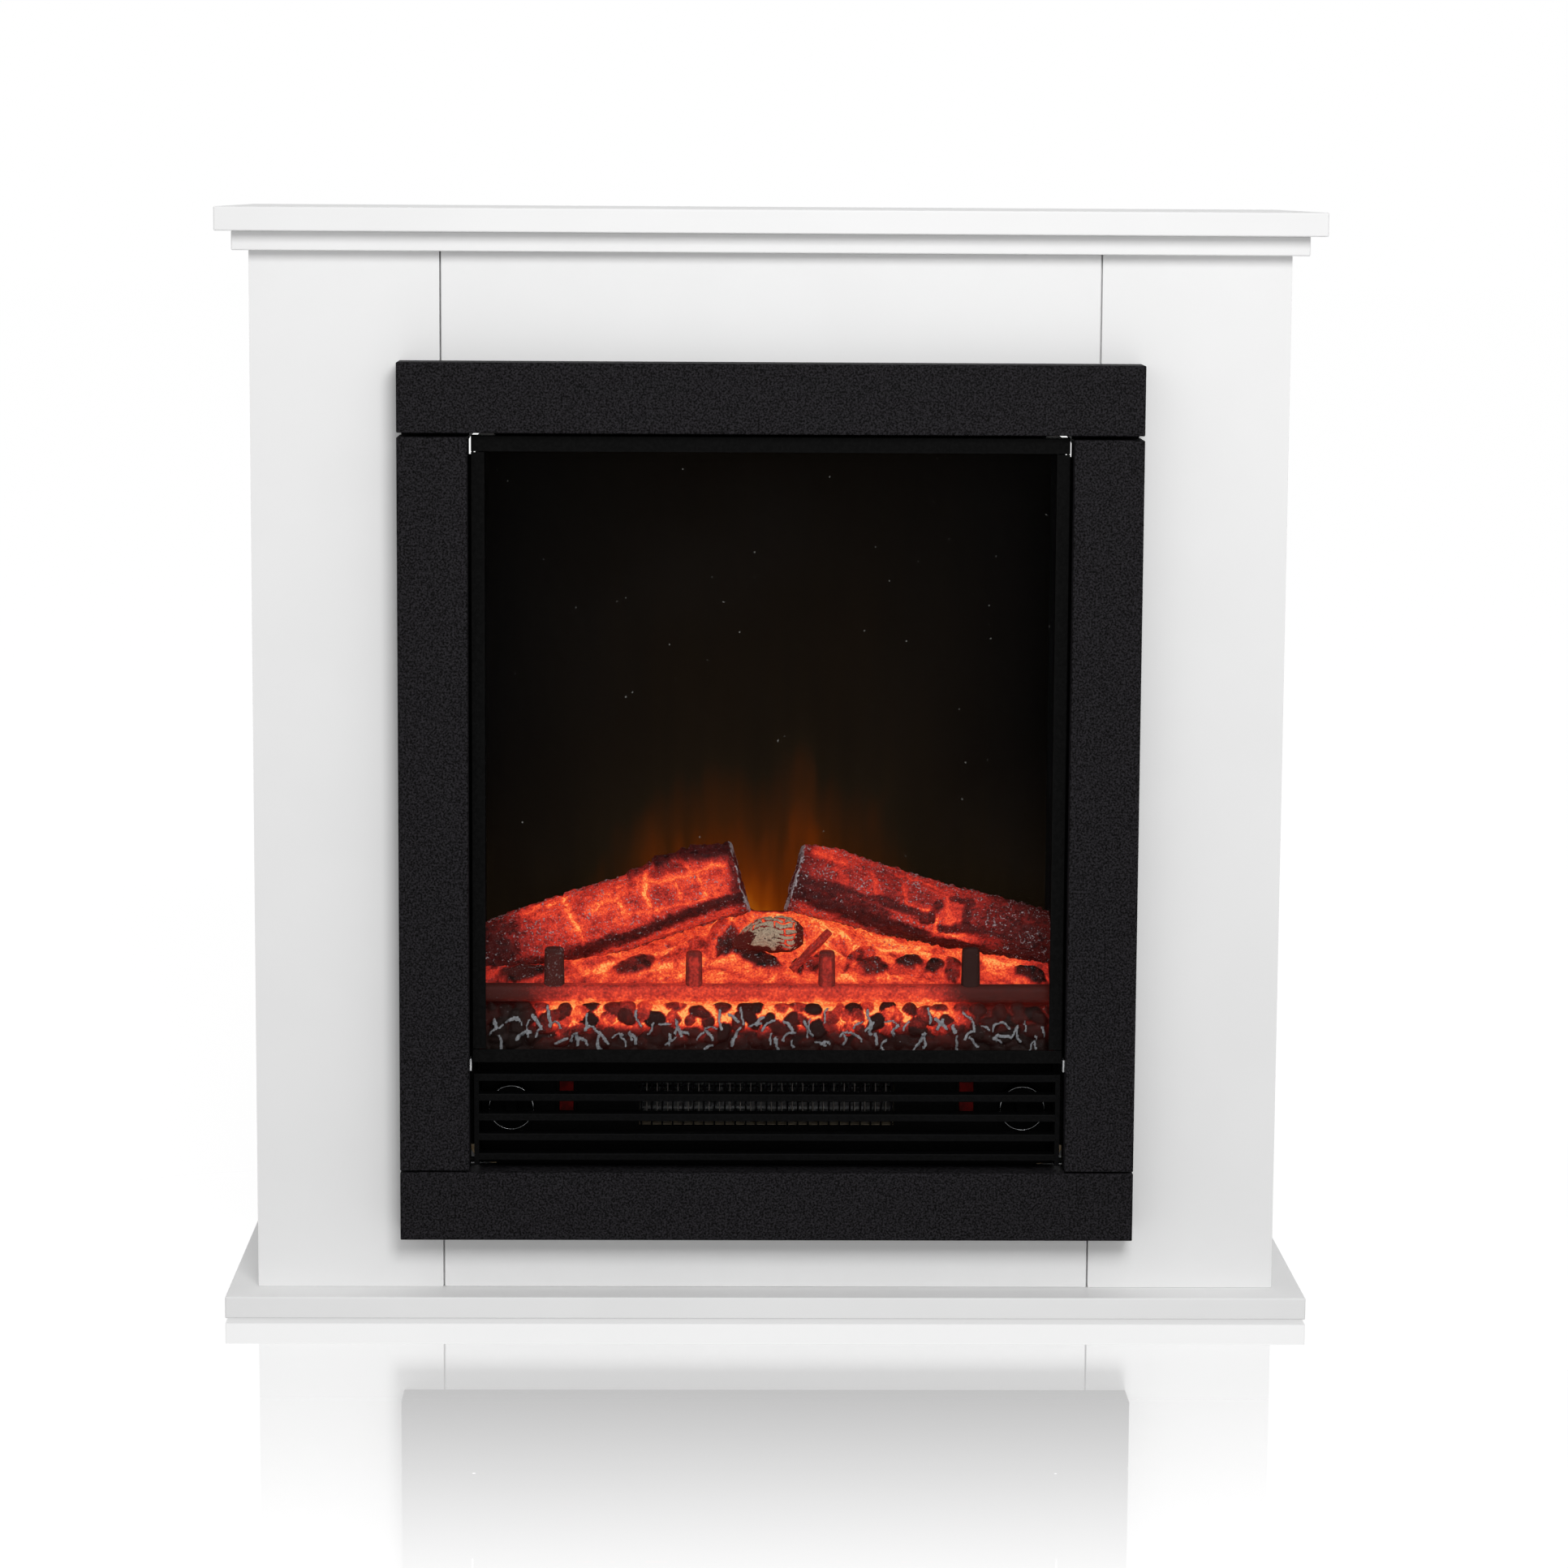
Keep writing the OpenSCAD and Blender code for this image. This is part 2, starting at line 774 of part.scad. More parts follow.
module thermostat() {
    shell_w = 30;
    shell_h = 28;
    shell_d = 26;
    color("ivory") at_knob(-1) difference() {
        union() {
            control_neck();
            span([-shell_w / 2, panel_y + sheet_t, -shell_h / 2], [shell_w / 2, panel_y + shell_d, shell_h / 2]);
            for (x = [-8, 0, 8])
                tab_at([x, panel_y + shell_d, 0]);
        }
        control_bore();
    }
}

module flame_dimmer() {
    can_r = 12;
    can_d = 20;
    lug_w = 8;
    lug_l = 20;
    color("gray") at_knob(1) difference() {
        union() {
            control_neck();
            rod_y([0, panel_y + sheet_t, 0], can_r, can_d);
            span([-lug_w / 2, panel_y + can_d / 2, -lug_l], [lug_w / 2, panel_y + can_d / 2 + 2, 0]);
        }
        control_bore();
    }
}

module knob() {
    difference() {
        rod_y([0, knob_front, 0], knob_r, knob_t);
        // Two scoops leave a grip across the face
        for (side = [-1, 1])
            rod_y([side * knob_r * 1.08, knob_front - 1, 0], knob_r * 0.85, knob_t * 0.55 + 1);
    }
    rod_y([0, knob_front + knob_t - 1, 0], shaft_r, shaft_l + 1);
}

module heat_knob() {
    color("#101011") at_knob(-1) knob();
}

module flame_knob() {
    color("#101011") at_knob(1) knob();
}

module switch_case() {
    difference() {
        union() {
            span([-case_w / 2 - 1, panel_y - 2, -case_l / 2 - 1], [case_w / 2 + 1, panel_y, case_l / 2 + 1]);
            span([-case_w / 2, panel_y - 1, -case_l / 2], [case_w / 2, panel_y + 17, case_l / 2]);
            for (z = [-7, 0, 7])
                tab_at([0, panel_y + 17, z]);
        }
        span([-rocker_w / 2 - 0.3, panel_y - 3, -case_l / 2 + 1], [rocker_w / 2 + 0.3, panel_y + 13, case_l / 2 - 1]);
        rod_x([-case_w / 2 - 1, rocker_y, 0], rocker_pin_r + run_fit, case_w + 2);
    }
}

module heat_switch_case() {
    color("#19191a") at_rocker(-1) switch_case();
}

module light_switch_case() {
    color("#19191a") at_rocker(1) switch_case();
}

module rocker() {
    e = rocker_l / 2;
    translate([0, rocker_y, 0]) rotate([-rocker_tilt, 0, 0]) {
        along_x(rocker_w)
            polygon([[-4.2, e], [-3.2, 0], [-4.2, -e], [0.5, -e + 0.3], [4, -3], [4, 3], [0.5, e - 0.3]]);
        rod_x([-case_w / 2 + 0.2, 0, 0], rocker_pin_r, case_w - 0.4);
    }
}

module heat_rocker() {
    color("red") at_rocker(-1) rocker();
}

module light_rocker() {
    color("red") at_rocker(1) rocker();
}

// ---- Heater ----

module outlet_guard() {
    y0 = panel_y + sheet_t + 0.3;
    rim = 5;
    n = floor(outlet_w / 2 / fin_pitch);
    color("dimgray") {
        difference() {
            span([-outlet_w / 2 - rim, y0, outlet_z - outlet_h / 2 - rim],
                [outlet_w / 2 + rim, y0 + 1.6, outlet_z + outlet_h / 2 + rim]);
            span([-outlet_w / 2, y0 - 1, outlet_z - outlet_h / 2], [outlet_w / 2, y0 + 3, outlet_z + outlet_h / 2]);
        }
        for (i = [-n:n])
            span([i * fin_pitch - 0.6, y0, outlet_z - outlet_h / 2 - 1], [i * fin_pitch + 0.6, y0 + 1.6, outlet_z + outlet_h / 2 + 1]);
    }
}

module element_frame() {
    y0 = panel_y + 5;
    color("tan") difference() {
        span([-outlet_w / 2 - 2, y0, outlet_z - outlet_h / 2 - 2], [outlet_w / 2 + 2, duct_y - 2, outlet_z + outlet_h / 2 + 2]);
        span([-outlet_w / 2, y0 - 1, outlet_z - outlet_h / 2], [outlet_w / 2, duct_y, outlet_z + outlet_h / 2]);
    }
}

// Flat ribbon folded up and down across the outlet
module heating_element() {
    y0 = panel_y + 10;
    y1 = duct_y - 8;
    t = 0.6;
    h = outlet_h / 2 - 0.6;
    n = 2 * floor(outlet_w / 2 / fin_pitch) - 1;
    x0 = -n * fin_pitch / 2;
    color("silver") {
        for (i = [0:n])
            span([x0 + i * fin_pitch - t / 2, y0, outlet_z - h], [x0 + i * fin_pitch + t / 2, y1, outlet_z + h]);
        for (i = [0:n - 1])
            translate([x0 + i * fin_pitch - t / 2, y0, outlet_z + (i % 2 == 0 ? h - t : -h)])
                cube([fin_pitch + t, y1 - y0, t]);
    }
}

module blower_scroll() {
    outer = scroll_r + scroll_t;
    lip0 = outlet_z - outlet_h / 2 - 2;
    lip1 = outlet_z + outlet_h / 2 + 2;
    color("lightgray") difference() {
        union() {
            rod_x([-scroll_x - scroll_t, fan_y, fan_z], outer, 2 * (scroll_x + scroll_t));
            span([-scroll_x - scroll_t, duct_y, lip0], [scroll_x + scroll_t, fan_y, lip1]);
        }
        rod_x([-scroll_x, fan_y, fan_z], scroll_r, 2 * scroll_x);
        span([-scroll_x, duct_y - 1, lip0 + scroll_t], [scroll_x, fan_y, lip1 - scroll_t]);
        // Open lower rear quarter, where the fan draws air
        span([-scroll_x, fan_y + 3, fan_z - scroll_r * 2], [scroll_x, fan_y + scroll_r * 2, fan_z - 2]);
        rod_x([-scroll_x - 5, fan_y, fan_z], fan_shaft_r + 3, 2 * scroll_x + 10);
    }
}

module blower_rotor() {
    blade_d = 6;
    color("silver") {
        for (i = [0:blade_n - 1])
            translate([0, fan_y, fan_z]) rotate([i * 360 / blade_n, 0, 0])
                translate([-fan_l / 2 + 1, 0, fan_r - blade_d - 0.5]) rotate([25, 0, 0])
                    translate([0, -0.3, 0.5]) cube([fan_l - 2, 0.6, blade_d - 1]);
        for (x = [-fan_l / 2, fan_l / 2 - 1.5])
            rod_x([x, fan_y, fan_z], fan_r, 1.5);
        rod_x([-scroll_x - 10, fan_y, fan_z], fan_shaft_r, 2 * scroll_x + 24);
    }
}

module blower_motor() {
    x0 = scroll_x + scroll_t;
    motor_l = 26;
    core_l = 14;
    color("slategray") difference() {
        union() {
            rod_x([x0, fan_y, fan_z], motor_r * 0.6, 4);
            rod_x([x0 + 3.5, fan_y, fan_z], motor_r, motor_l);
            span([x0 + 8, fan_y - motor_r - 5, fan_z - motor_r], [x0 + 8 + core_l, fan_y, fan_z + motor_r]);
        }
        rod_x([x0 - 1, fan_y, fan_z], fan_shaft_r + run_fit, 16);
    }
}

module rotor_bush() {
    x1 = -scroll_x - scroll_t;
    bush_l = 7;
    color("goldenrod") difference() {
        rod_x([x1 - bush_l, fan_y, fan_z], 3 * fan_shaft_r, bush_l);
        rod_x([x1 - bush_l - 1, fan_y, fan_z], fan_shaft_r + run_fit, bush_l + 2);
    }
}

module thermal_cutout() {
    z0 = outlet_z + outlet_h / 2 + 2;
    cup_r = 7;
    cup_h = 5;
    color("dimgray") {
        translate([-outlet_w / 3, duct_y + 2 * cup_r, z0]) cylinder(r = cup_r, h = cup_h);
        for (x = [-4, 4])
            translate([-outlet_w / 3 + x, duct_y + 2 * cup_r, z0 + cup_h]) rotate([90, 0, 0]) tab_at([0, 0, 0]);
    }
}

module terminal_block() {
    pitch = 10;
    block_d = 16;
    block_h = 14;
    y0 = iy1 - 40;
    color("white") difference() {
        span([gland_x - 6, y0, cz0 + sheet_t], [gland_x + 3 * pitch - 4, y0 + block_d, cz0 + sheet_t + block_h]);
        for (i = [0:2]) {
            rod_y([gland_x + i * pitch, y0 - 1, cz0 + sheet_t + 5], 1.7, block_d + 2);
            translate([gland_x + i * pitch, y0 + 5, cz0 + sheet_t + 7]) cylinder(r = 2.2, h = block_h);
        }
    }
}

module cable_gland() {
    inside = 5;
    nut = 6;
    dome = 10;
    color("#141414") difference() {
        union() {
            rod_y([gland_x, cy1 - sheet_t - inside, gland_z], 1.5 * gland_r, inside);
            rod_y([gland_x, cy1 - sheet_t - 1, gland_z], gland_r, sheet_t + 2);
            translate([gland_x, cy1, gland_z]) rotate([-90, 0, 0]) cylinder(r = 10, h = nut, $fn = 6);
            rod_y([gland_x, cy1 + nut - 1, gland_z], 1.25 * gland_r, dome + 1);
        }
        rod_y([gland_x, cy1 - sheet_t - inside - 1, gland_z], cable_r, inside + nut + dome + sheet_t + 3);
    }
}

// ---- Flap ----

module grille_flap() {
    z0 = pivot_z - 3;
    color("#151516") difference() {
        union() {
            for (side = [-1, 1])
                scale_side(side) span([flap_x - end_t, flap_y, z0], [flap_x, flap_y + slat_d, flap_top]);
            for (i = [0:slat_n - 1])
                round_span([-flap_x + 0.5, flap_y, flap_top - i * slat_pitch - slat_h],
                    [flap_x - 0.5, flap_y + slat_d, flap_top - i * slat_pitch], 1);
        }
        for (side = [-1, 1])
            scale_side(side) rod_x([flap_x - end_t - 1, pivot_y, pivot_z], pin_r + 0.02, end_t + 2);
    }
}

module flap_pins() {
    color("#2a2a2c")
        for (side = [-1, 1])
            scale_side(side) rod_x([flap_x - end_t, pivot_y, pivot_z], pin_r, end_t + 3 + trim_t + 1);
}

// Steel strips on the side bars, above the corners of the flap
module magnet_catches() {
    catch_t = 1.2;
    catch_d = 9;
    above_flap = 1.6;
    above_deck = 2;
    color("silver")
        for (side = [-1, 1])
            scale_side(side) translate([op_x - catch_t, flap_y + 1, flap_top + above_flap])
                cube([catch_t, catch_d, deck_z + above_deck - flap_top - above_flap]);
}

base_plate();
floor_glides();
left_side_panel();
right_side_panel();
left_pilaster();
right_pilaster();
centre_panel();
cornice_board();
mantel_shelf();
back_top_rail();
back_bottom_rail();
corner_blocks();
block_screws();
trim_top_bar();
trim_bottom_bar();
trim_left_bar();
trim_right_bar();
glass_left_strip();
glass_right_strip();
glass_top_strip();
glass_ledge();
glass_pane();
rear_casing();
top_cover();
floor_pan();
chamber_deck();
casing_screws();
ember_bed();
left_log();
right_log();
stub_log();
grate();
flame_screen();
flame_cutout_plate();
flicker_spindle();
spindle_motor();
spindle_bush();
led_boards();
control_panel();
thermostat();
flame_dimmer();
heat_knob();
flame_knob();
heat_switch_case();
light_switch_case();
heat_rocker();
light_rocker();
outlet_guard();
element_frame();
heating_element();
blower_scroll();
blower_rotor();
blower_motor();
rotor_bush();
thermal_cutout();
terminal_block();
cable_gland();
grille_flap();
flap_pins();
magnet_catches();
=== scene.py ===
"""Looks of the freestanding electric fireplace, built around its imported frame.

Blender's objects are in metres, with +Z up and the front towards -Y. Sizes and places of shapes are written
in millimetres in the same frame, unless a name or comment says otherwise.
"""

import math

import bmesh
import bpy
import numpy as np
from mathutils import Matrix, Vector, noise


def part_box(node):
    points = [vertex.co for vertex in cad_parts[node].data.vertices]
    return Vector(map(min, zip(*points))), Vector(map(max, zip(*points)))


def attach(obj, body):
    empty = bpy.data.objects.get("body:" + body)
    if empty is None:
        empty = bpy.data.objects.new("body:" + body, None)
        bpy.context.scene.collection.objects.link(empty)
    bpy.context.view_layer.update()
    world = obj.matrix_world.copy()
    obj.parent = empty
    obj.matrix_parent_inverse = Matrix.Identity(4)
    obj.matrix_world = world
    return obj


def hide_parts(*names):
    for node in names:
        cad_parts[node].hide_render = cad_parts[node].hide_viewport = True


MM = 0.001
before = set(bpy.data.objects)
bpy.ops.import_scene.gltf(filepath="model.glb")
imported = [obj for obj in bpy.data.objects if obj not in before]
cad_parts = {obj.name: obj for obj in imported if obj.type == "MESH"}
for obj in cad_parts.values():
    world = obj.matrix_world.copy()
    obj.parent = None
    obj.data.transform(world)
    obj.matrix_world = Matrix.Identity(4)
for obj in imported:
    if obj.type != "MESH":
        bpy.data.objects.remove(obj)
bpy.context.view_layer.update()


def in_mm(node):
    """Lowest and highest corner of a CAD node in millimetres."""
    return [np.array(corner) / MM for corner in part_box(node)]


# ---- Camera: metres and radians ----

CAMERA_PLACE = (-0.0465, -3.1414, 0.7762)
CAMERA_YAW = 0.01875
CAMERA_PITCH = -0.13382
CAMERA_ROLL = 0.00601
LENS_MM = 103.342
SENSOR_MM = 36.0


def make_camera():
    """Camera in front of the fire, a little above it, that looks slightly down."""
    data = bpy.data.cameras.new("front_camera")
    data.sensor_width = SENSOR_MM
    data.lens = LENS_MM
    data.clip_start = 0.05
    data.clip_end = 100.0
    camera = bpy.data.objects.new("front_camera", data)
    bpy.context.scene.collection.objects.link(camera)
    turn = Matrix.Rotation(-CAMERA_YAW, 4, "Z")
    tilt = Matrix.Rotation(math.pi / 2 + CAMERA_PITCH, 4, "X")
    roll = Matrix.Rotation(CAMERA_ROLL, 4, "Z")
    camera.matrix_world = Matrix.Translation(CAMERA_PLACE) @ turn @ tilt @ roll
    bpy.context.scene.camera = camera


# ---- Finishes: the node helpers ----

class Value:
    """A number that varies over a surface. Arithmetic on it adds Math nodes."""

    def __init__(self, finish, socket):
        self.finish = finish
        self.socket = socket

    def math(self, operation, *others):
        return self.finish.node("Math", {"operation": operation}, dict(enumerate((self, *others))))

    def __add__(self, other):
        return self.math("ADD", other)

    __radd__ = __add__

    def __mul__(self, other):
        return self.math("MULTIPLY", other)

    __rmul__ = __mul__

    def __sub__(self, other):
        return self.math("SUBTRACT", other)

    def __rsub__(self, other):
        return self.finish.node("Math", {"operation": "SUBTRACT"}, {0: other, 1: self})

    def __truediv__(self, other):
        return self.math("DIVIDE", other)

    def __pow__(self, power):
        return self.math("POWER", power)

    def __abs__(self):
        return self.math("ABSOLUTE")

    def rise(self, low, high):
        """0 below low, 1 above high and smooth between them; a low above high makes it fall."""
        falls = low > high
        start, end = (high, low) if falls else (low, high)
        settings = {"interpolation_type": "SMOOTHSTEP"}
        risen = self.finish.node("MapRange", settings, {0: self, 1: start, 2: end})
        return 1 - risen if falls else risen


def rgba(colour):
    """The colour with full cover."""
    return (*colour, 1.0)


class Finish:
    """One finish: its node tree, and the Principled shader that the finish is set on."""

    def __init__(self, name, owner=None):
        self.owner = owner or bpy.data.materials.new(name)
        self.owner.use_nodes = True
        self.tree = self.owner.node_tree
        self.shader = self.tree.nodes.get("Principled BSDF")

    def feed(self, socket, value):
        """Link a varying value to the socket, or set a constant on it."""
        if isinstance(value, Value):
            self.tree.links.new(value.socket, socket)
        else:
            socket.default_value = value

    def node(self, kind, settings=None, inputs=None, output=0):
        """A node of that kind: its settings first, then the values or links of its sockets."""
        new = self.tree.nodes.new("ShaderNode" + kind)
        for name, value in (settings or {}).items():
            if name == "stops":
                self.set_stops(new.color_ramp, value)
            else:
                setattr(new, name, value)
        for socket, value in (inputs or {}).items():
            self.feed(new.inputs[socket], value)
        return Value(self, new.outputs[output])

    def set_stops(self, ramp, stops):
        while len(ramp.elements) < len(stops):
            ramp.elements.new(1.0)
        for element, (place, colour) in zip(ramp.elements, stops):
            element.position = place
            element.color = rgba(colour)

    def set(self, **values):
        """Values or links of the shader's sockets, with an underscore for each space in a socket's name."""
        for name, value in values.items():
            self.feed(self.shader.inputs[name.replace("_", " ")], value)
        return self.owner

    def place(self, stretch=(1, 1, 1)):
        """The object's own coordinates in millimetres, divided by stretch along each axis."""
        where = self.node("TexCoord", output="Object")
        scale = tuple(1 / (MM * s) for s in stretch)
        return self.node("VectorMath", {"operation": "MULTIPLY"}, {0: where, 1: scale})

    def axis(self, letter):
        """One of the object's own coordinates, in millimetres."""
        return self.node("SeparateXYZ", None, {0: self.place()}, output=letter)

    def grain(self, size, detail=2.0, stretch=(1, 1, 1), distortion=0.0, seed=0.0):
        """Noise from 0 to 1 whose features are about that many millimetres across."""
        return self.node("TexNoise", {"noise_dimensions": "4D"}, {
            "Vector": self.place(stretch), "W": seed, "Scale": 1 / size, "Detail": detail,
            "Distortion": distortion})

    def cells(self, size, feature="F1", stretch=(1, 1, 1)):
        """Distance in a Voronoi pattern whose cells are about that many millimetres across."""
        inputs = {"Vector": self.place(stretch), "Scale": 1 / size}
        return self.node("TexVoronoi", {"feature": feature}, inputs, output="Distance")

    def painted(self, name):
        """A value that the mesh carries at each of its points."""
        return self.node("Attribute", {"attribute_name": name}, output="Fac")

    def mix(self, factor, low, high):
        """The colour low where the factor is 0, and high where it is 1."""
        ends = [c if isinstance(c, Value) else rgba(c) for c in (low, high)]
        return self.node("Mix", {"data_type": "RGBA"}, {0: factor, 6: ends[0], 7: ends[1]}, output=2)

    def ramp(self, factor, stops):
        return self.node("ValToRGB", {"stops": stops}, {0: factor})

    def bump(self, height, depth):
        """A normal from a height of 0 to 1 that stands depth millimetres tall."""
        return self.node("Bump", None, {"Strength": 1.0, "Distance": depth * MM, "Height": height})


# ---- Finishes: boards ----

def white_board():
    f = Finish("white_board")
    cloud = f.grain(70, 2)
    peel = f.grain(1.6, 2)
    return f.set(
        Base_Color=f.mix(cloud.rise(0.3, 0.7), (0.885, 0.885, 0.885), (0.9, 0.9, 0.9)),
        Roughness=0.36 + 0.1 * f.grain(18, 3),
        Normal=f.bump(peel, 0.012),
        Specular_IOR_Level=0.35)


def raw_board():
    f = Finish("raw_board")
    chips = f.cells(3.2, stretch=(2.2, 1, 1))
    tone = f.grain(1.5, 3, stretch=(3, 1, 1))
    return f.set(
        Base_Color=f.ramp(0.6 * tone + 0.4 * chips, [
            (0.2, (0.30, 0.20, 0.11)), (0.5, (0.50, 0.37, 0.22)), (0.8, (0.66, 0.53, 0.35))]),
        Roughness=0.75 + 0.15 * tone,
        Normal=f.bump(chips, 0.15))


def pine():
    f = Finish("pine")
    rings = f.grain(7, 3, stretch=(1, 1, 14), distortion=0.6)
    fibre = f.grain(0.8, 2, stretch=(1, 1, 20))
    return f.set(
        Base_Color=f.ramp(0.75 * rings + 0.25 * fibre, [
            (0.3, (0.74, 0.55, 0.32)), (0.5, (0.66, 0.45, 0.24)), (0.62, (0.5, 0.31, 0.15))]),
        Roughness=0.6 + 0.2 * fibre,
        Normal=f.bump(fibre, 0.08))


# ---- Finishes: metal and paint ----

def powder_coat(name, dark, light, grain_size, roughness):
    """Fine textured paint. Its sheen is kept low, so that it stays black in white surroundings."""
    f = Finish(name)
    grit = f.grain(grain_size, 3)
    fleck = f.grain(grain_size * 0.7, 1, seed=4.0).rise(0.62, 0.8)
    return f.set(
        Base_Color=f.mix(0.75 * grit.rise(0.35, 0.68) + 0.45 * fleck, dark, light),
        Roughness=roughness + 0.2 * grit,
        Normal=f.bump(grit, 0.09),
        Specular_IOR_Level=0.035)


def black_trim():
    return powder_coat("black_trim", (0.001, 0.001, 0.001), (0.031, 0.029, 0.033), 1.3, 0.5)


def black_sheet():
    # Black paint made darker than the trim's: painted shade of the recess behind the flap
    return powder_coat("black_sheet", (0.001, 0.001, 0.001), (0.004, 0.004, 0.004), 2.0, 0.5)


def flap_plastic():
    # Black plastic made darker still: painted shade where the flap sits
    return powder_coat("flap_plastic", (0.0006, 0.0006, 0.0006), (0.003, 0.003, 0.0033), 1.6, 0.4)


def brushed(name, colour, roughness, along=(18, 1, 1), shade=0.8):
    f = Finish(name)
    lines = f.grain(0.7, 3, stretch=along)
    stain = f.grain(26, 3, seed=2.0)
    dull = tuple(shade * c for c in colour)
    return f.set(
        Base_Color=f.mix(0.6 * lines + 0.4 * stain, dull, colour),
        Metallic=1.0,
        Roughness=roughness + 0.15 * lines + 0.1 * stain,
        Normal=f.bump(lines, 0.02))


def zinc():
    f = Finish("zinc")
    spangle = f.cells(3.5)
    blush = f.grain(2.5, 2)
    return f.set(
        Base_Color=f.ramp(0.5 * spangle + 0.5 * blush, [
            (0.2, (0.44, 0.45, 0.47)), (0.8, (0.66, 0.66, 0.66))]),
        Metallic=1.0,
        Roughness=0.3 + 0.2 * blush,
        Normal=f.bump(blush, 0.02))


def bright_sheet():
    return brushed("bright_sheet", (0.82, 0.82, 0.83), 0.14, along=(1, 1, 25))


def motor_steel():
    return brushed("motor_steel", (0.56, 0.57, 0.58), 0.32)


def rotor_aluminium():
    return brushed("rotor_aluminium", (0.72, 0.72, 0.73), 0.28, along=(30, 1, 1))


def resistance_ribbon():
    return brushed("resistance_ribbon", (0.13, 0.12, 0.11), 0.4, along=(1, 10, 1), shade=0.6)


def bronze():
    f = Finish("bronze")
    pores = f.cells(0.8)
    return f.set(
        Base_Color=f.mix(pores.rise(0.1, 0.5), (0.25, 0.14, 0.05), (0.62, 0.4, 0.17)),
        Metallic=1.0,
        Roughness=0.5 - 0.15 * pores,
        Normal=f.bump(pores, 0.06))


def chrome():
    f = Finish("chrome")
    wear = f.grain(2.2, 3)
    return f.set(
        Base_Color=f.mix(wear.rise(0.35, 0.7), (0.16, 0.165, 0.17), (0.3, 0.3, 0.31)),
        Metallic=1.0,
        Roughness=0.1 + 0.12 * wear)


# ---- Finishes: plastics ----

def moulded(name, colour, roughness=0.45, mottle=0.25, depth=0.03, **more):
    f = Finish(name)
    skin = f.grain(0.9, 2)
    cloud = f.grain(12, 2, seed=1.0)
    low = tuple(c * (1 - mottle) for c in colour)
    return f.set(
        Base_Color=f.mix(0.5 * skin + 0.5 * cloud, low, colour),
        Roughness=roughness + 0.12 * skin,
        Normal=f.bump(skin, depth),
        **more)


def grey_plastic():
    return moulded("grey_plastic", (0.09, 0.09, 0.095), 0.55)


def control_plastic():
    return moulded("control_plastic", (0.72, 0.68, 0.56), 0.5, mottle=0.08)


def knob_plastic():
    return moulded("knob_plastic", (0.002, 0.002, 0.002), 0.5, Specular_IOR_Level=0.02)


def switch_plastic():
    return moulded("switch_plastic", (0.003, 0.003, 0.003), 0.5, Specular_IOR_Level=0.03)


def gland_plastic():
    return moulded("gland_plastic", (0.02, 0.02, 0.021), 0.5, depth=0.05)


def red_rocker():
    f = Finish("red_rocker")
    depth = f.grain(6, 2)
    return f.set(
        Base_Color=f.mix(depth, (0.018, 0.0004, 0.0004), (0.04, 0.0008, 0.0008)),
        Emission_Color=f.mix(depth.rise(0.35, 0.65), (0.006, 0.0, 0.0), (0.02, 0.0003, 0.0003)),
        Emission_Strength=1.0,
        Roughness=0.3 + 0.08 * f.grain(2, 2),
        Specular_IOR_Level=0.04)


def circuit_board():
    f = Finish("circuit_board")
    tracks = f.cells(5, "DISTANCE_TO_EDGE")
    return f.set(
        Base_Color=f.mix(tracks.rise(0.04, 0.09), (0.09, 0.34, 0.14), (0.015, 0.14, 0.045)),
        Roughness=0.3 + 0.1 * f.grain(2, 2),
        Normal=f.bump(tracks.rise(0.0, 0.12), 0.03))


def mica():
    f = Finish("mica")
    flakes = f.cells(4)
    return f.set(
        Base_Color=f.ramp(flakes, [(0.1, (0.3, 0.25, 0.17)), (0.6, (0.18, 0.14, 0.09))]),
        Roughness=0.35 + 0.25 * f.grain(2, 2),
        Normal=f.bump(flakes, 0.05))


def glass():
    f = Finish("glass")
    speck = f.grain(2.4, 0, seed=7.0).rise(0.86, 0.88)
    film = f.grain(90, 3, distortion=0.8).rise(0.45, 0.8)
    return f.set(
        Base_Color=f.mix(speck, (0.01, 0.01, 0.01), (0.5, 0.5, 0.48)),
        Alpha=0.015 + 0.015 * film + 0.25 * speck,
        Roughness=0.04 + 0.05 * film,
        Specular_IOR_Level=0.3)


# ---- Finishes: the fire ----

# Colour of the painted glow of a resin piece, for the lamps' light that comes through it, from dark to
# brightest
GLOW = [(0.0, (0.0, 0.0, 0.0)), (0.18, (0.045, 0.003, 0.002)), (0.36, (0.22, 0.011, 0.008)),
        (0.55, (0.58, 0.032, 0.017)), (0.7, (0.88, 0.072, 0.026)), (0.83, (1.0, 0.15, 0.038)),
        (0.93, (1.0, 0.26, 0.062)), (1.0, (1.0, 0.44, 0.12))]


# Height above the foot of the screen at which the flames begin, and how far left of the middle they are
FLAME_FOOT = 82.0
FLAME_LEFT = 12.0


